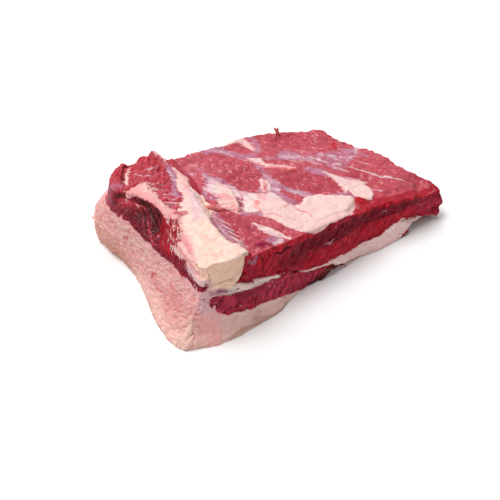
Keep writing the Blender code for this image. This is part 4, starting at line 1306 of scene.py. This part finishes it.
def laid(view, spots, lift=0.3):
    # flat spots put on the dressed surface, as seen from one side
    away = np.array({"top": (0, 0, 1), "front": (0, -1, 0), "end": (-1, 0, 0)}[view], float)
    axes = {"top": [0, 1], "front": [0, 2], "end": [1, 2]}[view]
    found = []
    for spot in spots:
        start = 400 * away
        start[axes] = spot
        place = dressed.ray_cast(Vector(toMetres(start)), -Vector(away))[0]
        if place is not None:
            found.append(toMillimetres(place) + lift * away)
    return found


def strandPiece(name, colour, runs, fatty=True):
    # runs are lists of places and the girths along them
    mesh = bpy.data.meshes.new(name)
    places, edges, girths = [], [], []
    for spots, widths in runs:
        if len(spots) < 2:
            continue
        path = smoothPath(spots)
        edges += [(len(places) + i, len(places) + i + 1) for i in range(len(path) - 1)]
        girths += list(np.interp(np.linspace(0, 1, len(path)), np.linspace(0, 1, len(widths)), widths))
        places += list(path)
    mesh.from_pydata([tuple(place) for place in toMetres(places)], edges, [])
    mesh.attributes.new("girth", "FLOAT", "POINT").data.foreach_set("value", girths)
    piece = bpy.data.objects.new(name, mesh)
    bpy.context.scene.collection.objects.link(piece)
    swept = piece.modifiers.new("strands", "NODES")
    swept.node_group = strands
    for item in strands.interface.items_tree:
        if item.name in strandSizes:
            swept[item.identifier] = strandSizes[item.name]
        elif item.name == "Finish":
            swept[item.identifier] = look
    settled(piece)
    work = bmesh.new()
    work.from_mesh(piece.data)
    bmesh.ops.remove_doubles(work, verts=work.verts[:], dist=meshSizes["strandWeld"])
    bmesh.ops.recalc_face_normals(work, faces=work.faces[:])
    work.to_mesh(piece.data)
    work.free()
    points, normals = placesOf(piece.data)
    marks = Marks(points, normals, 5.0 if fatty else -5.0)
    marks.side, marks.veins = np.full(len(points), 0.5), np.zeros(len(points))
    shadeOver = 1 + 0.12 * lumps(points, 3, 60)[:, None]
    marks.fatTone = np.clip(tones[colour] * shadeOver, 0, 1)
    marks.leanTone = marks.fatTone.copy()
    finishMesh(piece, marks, points)
    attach(piece, "root")
    pieces[name] = piece
    print(name, sum(len(f.vertices) - 2 for f in piece.data.polygons), "triangles")


def hung(high, low, steps=5, stray=0.5, lift=0.15):
    # places from one 3-D spot to another, drawn on to the nearest skin
    found = []
    for share in np.linspace(0, 1, steps):
        spot = np.array(high) * (1 - share) + np.array(low) * share + dice.uniform(-stray, stray, 3)
        place, normal = dressed.find_nearest(Vector(toMetres(spot)))[:2]
        found.append(toMillimetres(place) + lift * np.array(normal))
    return found


dice = np.random.default_rng(11)
strandPiece("fingerTag", "salmon", [
    (laid("top", [(103, 112), (107, 110), (112, 108), (117, 105.5), (121, 104)], 0.8),
     [2.0, 3.2, 3.0, 2.4, 1.2]),
])
sprig = laid("top", [(279, 192)], 0)[0]
strandPiece("backSprig", "salmon", [
    ([sprig + (0.5, 0, -2), sprig + (-1, 0, 4), sprig + (-3.5, 1, 8.5), sprig + (-6, 1, 11.5)],
     [2.6, 2.0, 1.4, 0.6]),
    ([sprig + (-1, 0, 3.5), sprig + (-0.5, 0, 7.5), sprig + (-1.5, 0.5, 11)], [1.5, 1.2, 0.5]),
])
strandPiece("cornerTabs", "capCream", [
    ([(21, 39, 27), (17, 40, 18), (12, 41, 10), (8, 42, 5), (4.5, 43, 2.2)], [2.2, 4.0, 3.8, 2.6, 1.0]),
    ([(19, 35, 16), (14, 35, 10), (10, 36, 5.5), (7, 37, 2)], [1.4, 2.8, 2.4, 0.8]),
])
edge = laid("end", [(222, 33), (224, 36)], -0.8)
strandPiece("edgeWisps", "pinkPale", [
    (edge + [edge[-1] + (-2.5, 5, 3), edge[-1] + (-4, 9, 7)], [1.6, 1.4, 0.9, 0.3]),
    (laid("end", [(212, 38), (217, 35), (222, 33)], 0.2), [0.5, 1.2, 0.4]),
])
strandPiece("seamRoll", "seamCream", [
    (laid("front", [(60, 60.5), (66, 59.5), (72, 57.5), (80, 53.8), (96, 48), (110, 44), (124, 40.4),
                    (133, 38.4)], -1.3),
     [0.6, 2.6, 3.4, 3.6, 3.4, 2.8, 2.2, 0.5]),
])
strandPiece("footRoll", "creamCut", [
    (laid("front", [(40, 70.5), (46, 70.2), (52, 69.6), (58, 68.6), (64, 66.8), (71, 63.4)], -1.2),
     [1.0, 2.6, 3.2, 3.4, 3.0, 1.0]),
])
frills = []
for i, (x, z) in enumerate([(316, 17), (320, 14.5), (325, 14.5), (329, 15)]):
    spot = laid("front", [(x - 6, z - 1), (x - 2, z - 1), (x, z)], 0.2)
    if spot:
        spot += [spot[-1] + (3.5, -1.0, -0.6 + 0.5 * (i % 2)), spot[-1] + (6, -0.5, -1.6)]
        frills.append((spot, [0.8, 1.3, 1.1, 0.8, 0.3]))
strandPiece("capFrills", "bandWhite", frills)

# white strands over the red side of the hard fat, wisps at its foot, strands in the skin on its other side
rim = np.array([(63, 112, 97), (56, 94, 96), (50, 77, 96), (43, 56, 95), (38, 38, 92)])
foot = np.array([(51, 118, 82), (43, 99, 77), (38, 79, 77), (36, 60, 75), (35, 40, 69)])


def between(share, drop):
    at = np.clip(share, 0, 1) * 4
    ends = [np.array([np.interp(at, range(5), line[:, k]) for k in range(3)]) for line in (rim, foot)]
    return ends[0] * (1 - drop) + ends[1] * drop


threadNumbers = {"redSide": 44, "foot": 20, "otherSide": 11}
threads = []


def addThread(spots, thin, thick):
    threads.append((spots, [thin, thick, 0.2]))


for _ in range(threadNumbers["redSide"]):
    share, drop = dice.uniform(0, 0.5), dice.uniform(-0.05, 0.7)
    run = dice.uniform(0.2, 0.5)
    spots = hung(between(share, drop), between(share + 0.12 * run, drop + run))
    addThread(spots, 0.15, dice.uniform(0.35, 0.9))
for _ in range(threadNumbers["foot"]):
    share, drop = dice.uniform(0.5, 0.98), dice.uniform(0.5, 0.9)
    run = dice.uniform(0.2, 0.5)
    spots = hung(between(share, drop), between(share + 0.1, drop + run))
    addThread(spots, 0.2, dice.uniform(0.35, 0.8))
for i in range(threadNumbers["otherSide"]):
    y = 100 - 5 * i + dice.uniform(-2, 2)
    x = np.interp(y, [46, 72, 104], [93, 94, 103]) + dice.uniform(0, 5)
    run = dice.uniform(12, 22)
    spots = laid("top", [(x, y), (x + 0.1 * run, y - 0.5 * run), (x + 0.3 * run, y - run)], 0.1)
    addThread(spots, 0.2, dice.uniform(0.3, 0.75))
strandPiece("whiteThreads", "whitePink", threads)


# floor, lights and camera

studio = {
    "floorTone": (0.93, 0.93, 0.93),
    "floorHalf": 4.0,
    "worldStrength": 0.34,
    "keyStrength": 2.6,
    "keyFrom": (-0.3, 0.25, 1.0),
    "keyAngle": 34,  # degrees across, which softens the shadows
    "sheenPower": 9.0,
    "sheenPlace": (0.75, 1.0, 1.35),
    "sheenSize": 0.5,
    "cameraPlace": (-0.6019202, -0.67362533, 0.7705),
    "cameraHeading": 48.4,  # degrees from the x axis
    "cameraDown": 41.46,
    "lens": 74.4984,
}


def areaLight(name, place, size, power, target=(0, 0, 0.04)):
    light = bpy.data.lights.new(name, "AREA")
    light.shape, light.size, light.energy = "DISK", size, power
    lamp = bpy.data.objects.new(name, light)
    lamp.location = place
    lamp.rotation_euler = (Vector(target) - Vector(place)).to_track_quat("-Z", "Y").to_euler()
    bpy.context.scene.collection.objects.link(lamp)


def floor():
    mesh = bpy.data.meshes.new("floor")
    half = studio["floorHalf"]
    corners = [(-half, -half, 0), (half, -half, 0), (half, half, 0), (-half, half, 0)]
    mesh.from_pydata(corners, [], [(0, 1, 2, 3)])
    sheet = bpy.data.objects.new("floor", mesh)
    bpy.context.scene.collection.objects.link(sheet)
    paper = bpy.data.materials.new("paper")
    paper.use_nodes = True
    shader = paper.node_tree.nodes["Principled BSDF"]
    shader.inputs["Base Color"].default_value = (*studio["floorTone"], 1)
    shader.inputs["Roughness"].default_value = 0.9
    shader.inputs["Specular IOR Level"].default_value = 0.1
    mesh.materials.append(paper)


floor()
sun = bpy.data.lights.new("key", "SUN")
sun.energy, sun.angle = studio["keyStrength"], math.radians(studio["keyAngle"])
lamp = bpy.data.objects.new("key", sun)
lamp.rotation_euler = (-Vector(studio["keyFrom"])).to_track_quat("-Z", "Y").to_euler()
bpy.context.scene.collection.objects.link(lamp)
areaLight("sheen", studio["sheenPlace"], studio["sheenSize"], studio["sheenPower"])
world = bpy.data.worlds.new("studio")
world.use_nodes = True
world.node_tree.nodes["Background"].inputs["Color"].default_value = (1, 1, 1, 1)
world.node_tree.nodes["Background"].inputs["Strength"].default_value = studio["worldStrength"]
bpy.context.scene.world = world
bpy.context.scene.view_settings.view_transform = "Standard"

camera = bpy.data.objects.new("camera", bpy.data.cameras.new("camera"))
camera.data.lens = studio["lens"]
camera.location = studio["cameraPlace"]
heading, down = math.radians(studio["cameraHeading"]), math.radians(studio["cameraDown"])
forward = Vector((math.cos(heading) * math.cos(down), math.sin(heading) * math.cos(down), -math.sin(down)))
camera.rotation_euler = forward.to_track_quat("-Z", "Y").to_euler()
bpy.context.scene.collection.objects.link(camera)
bpy.context.scene.camera = camera
print("studio ready")
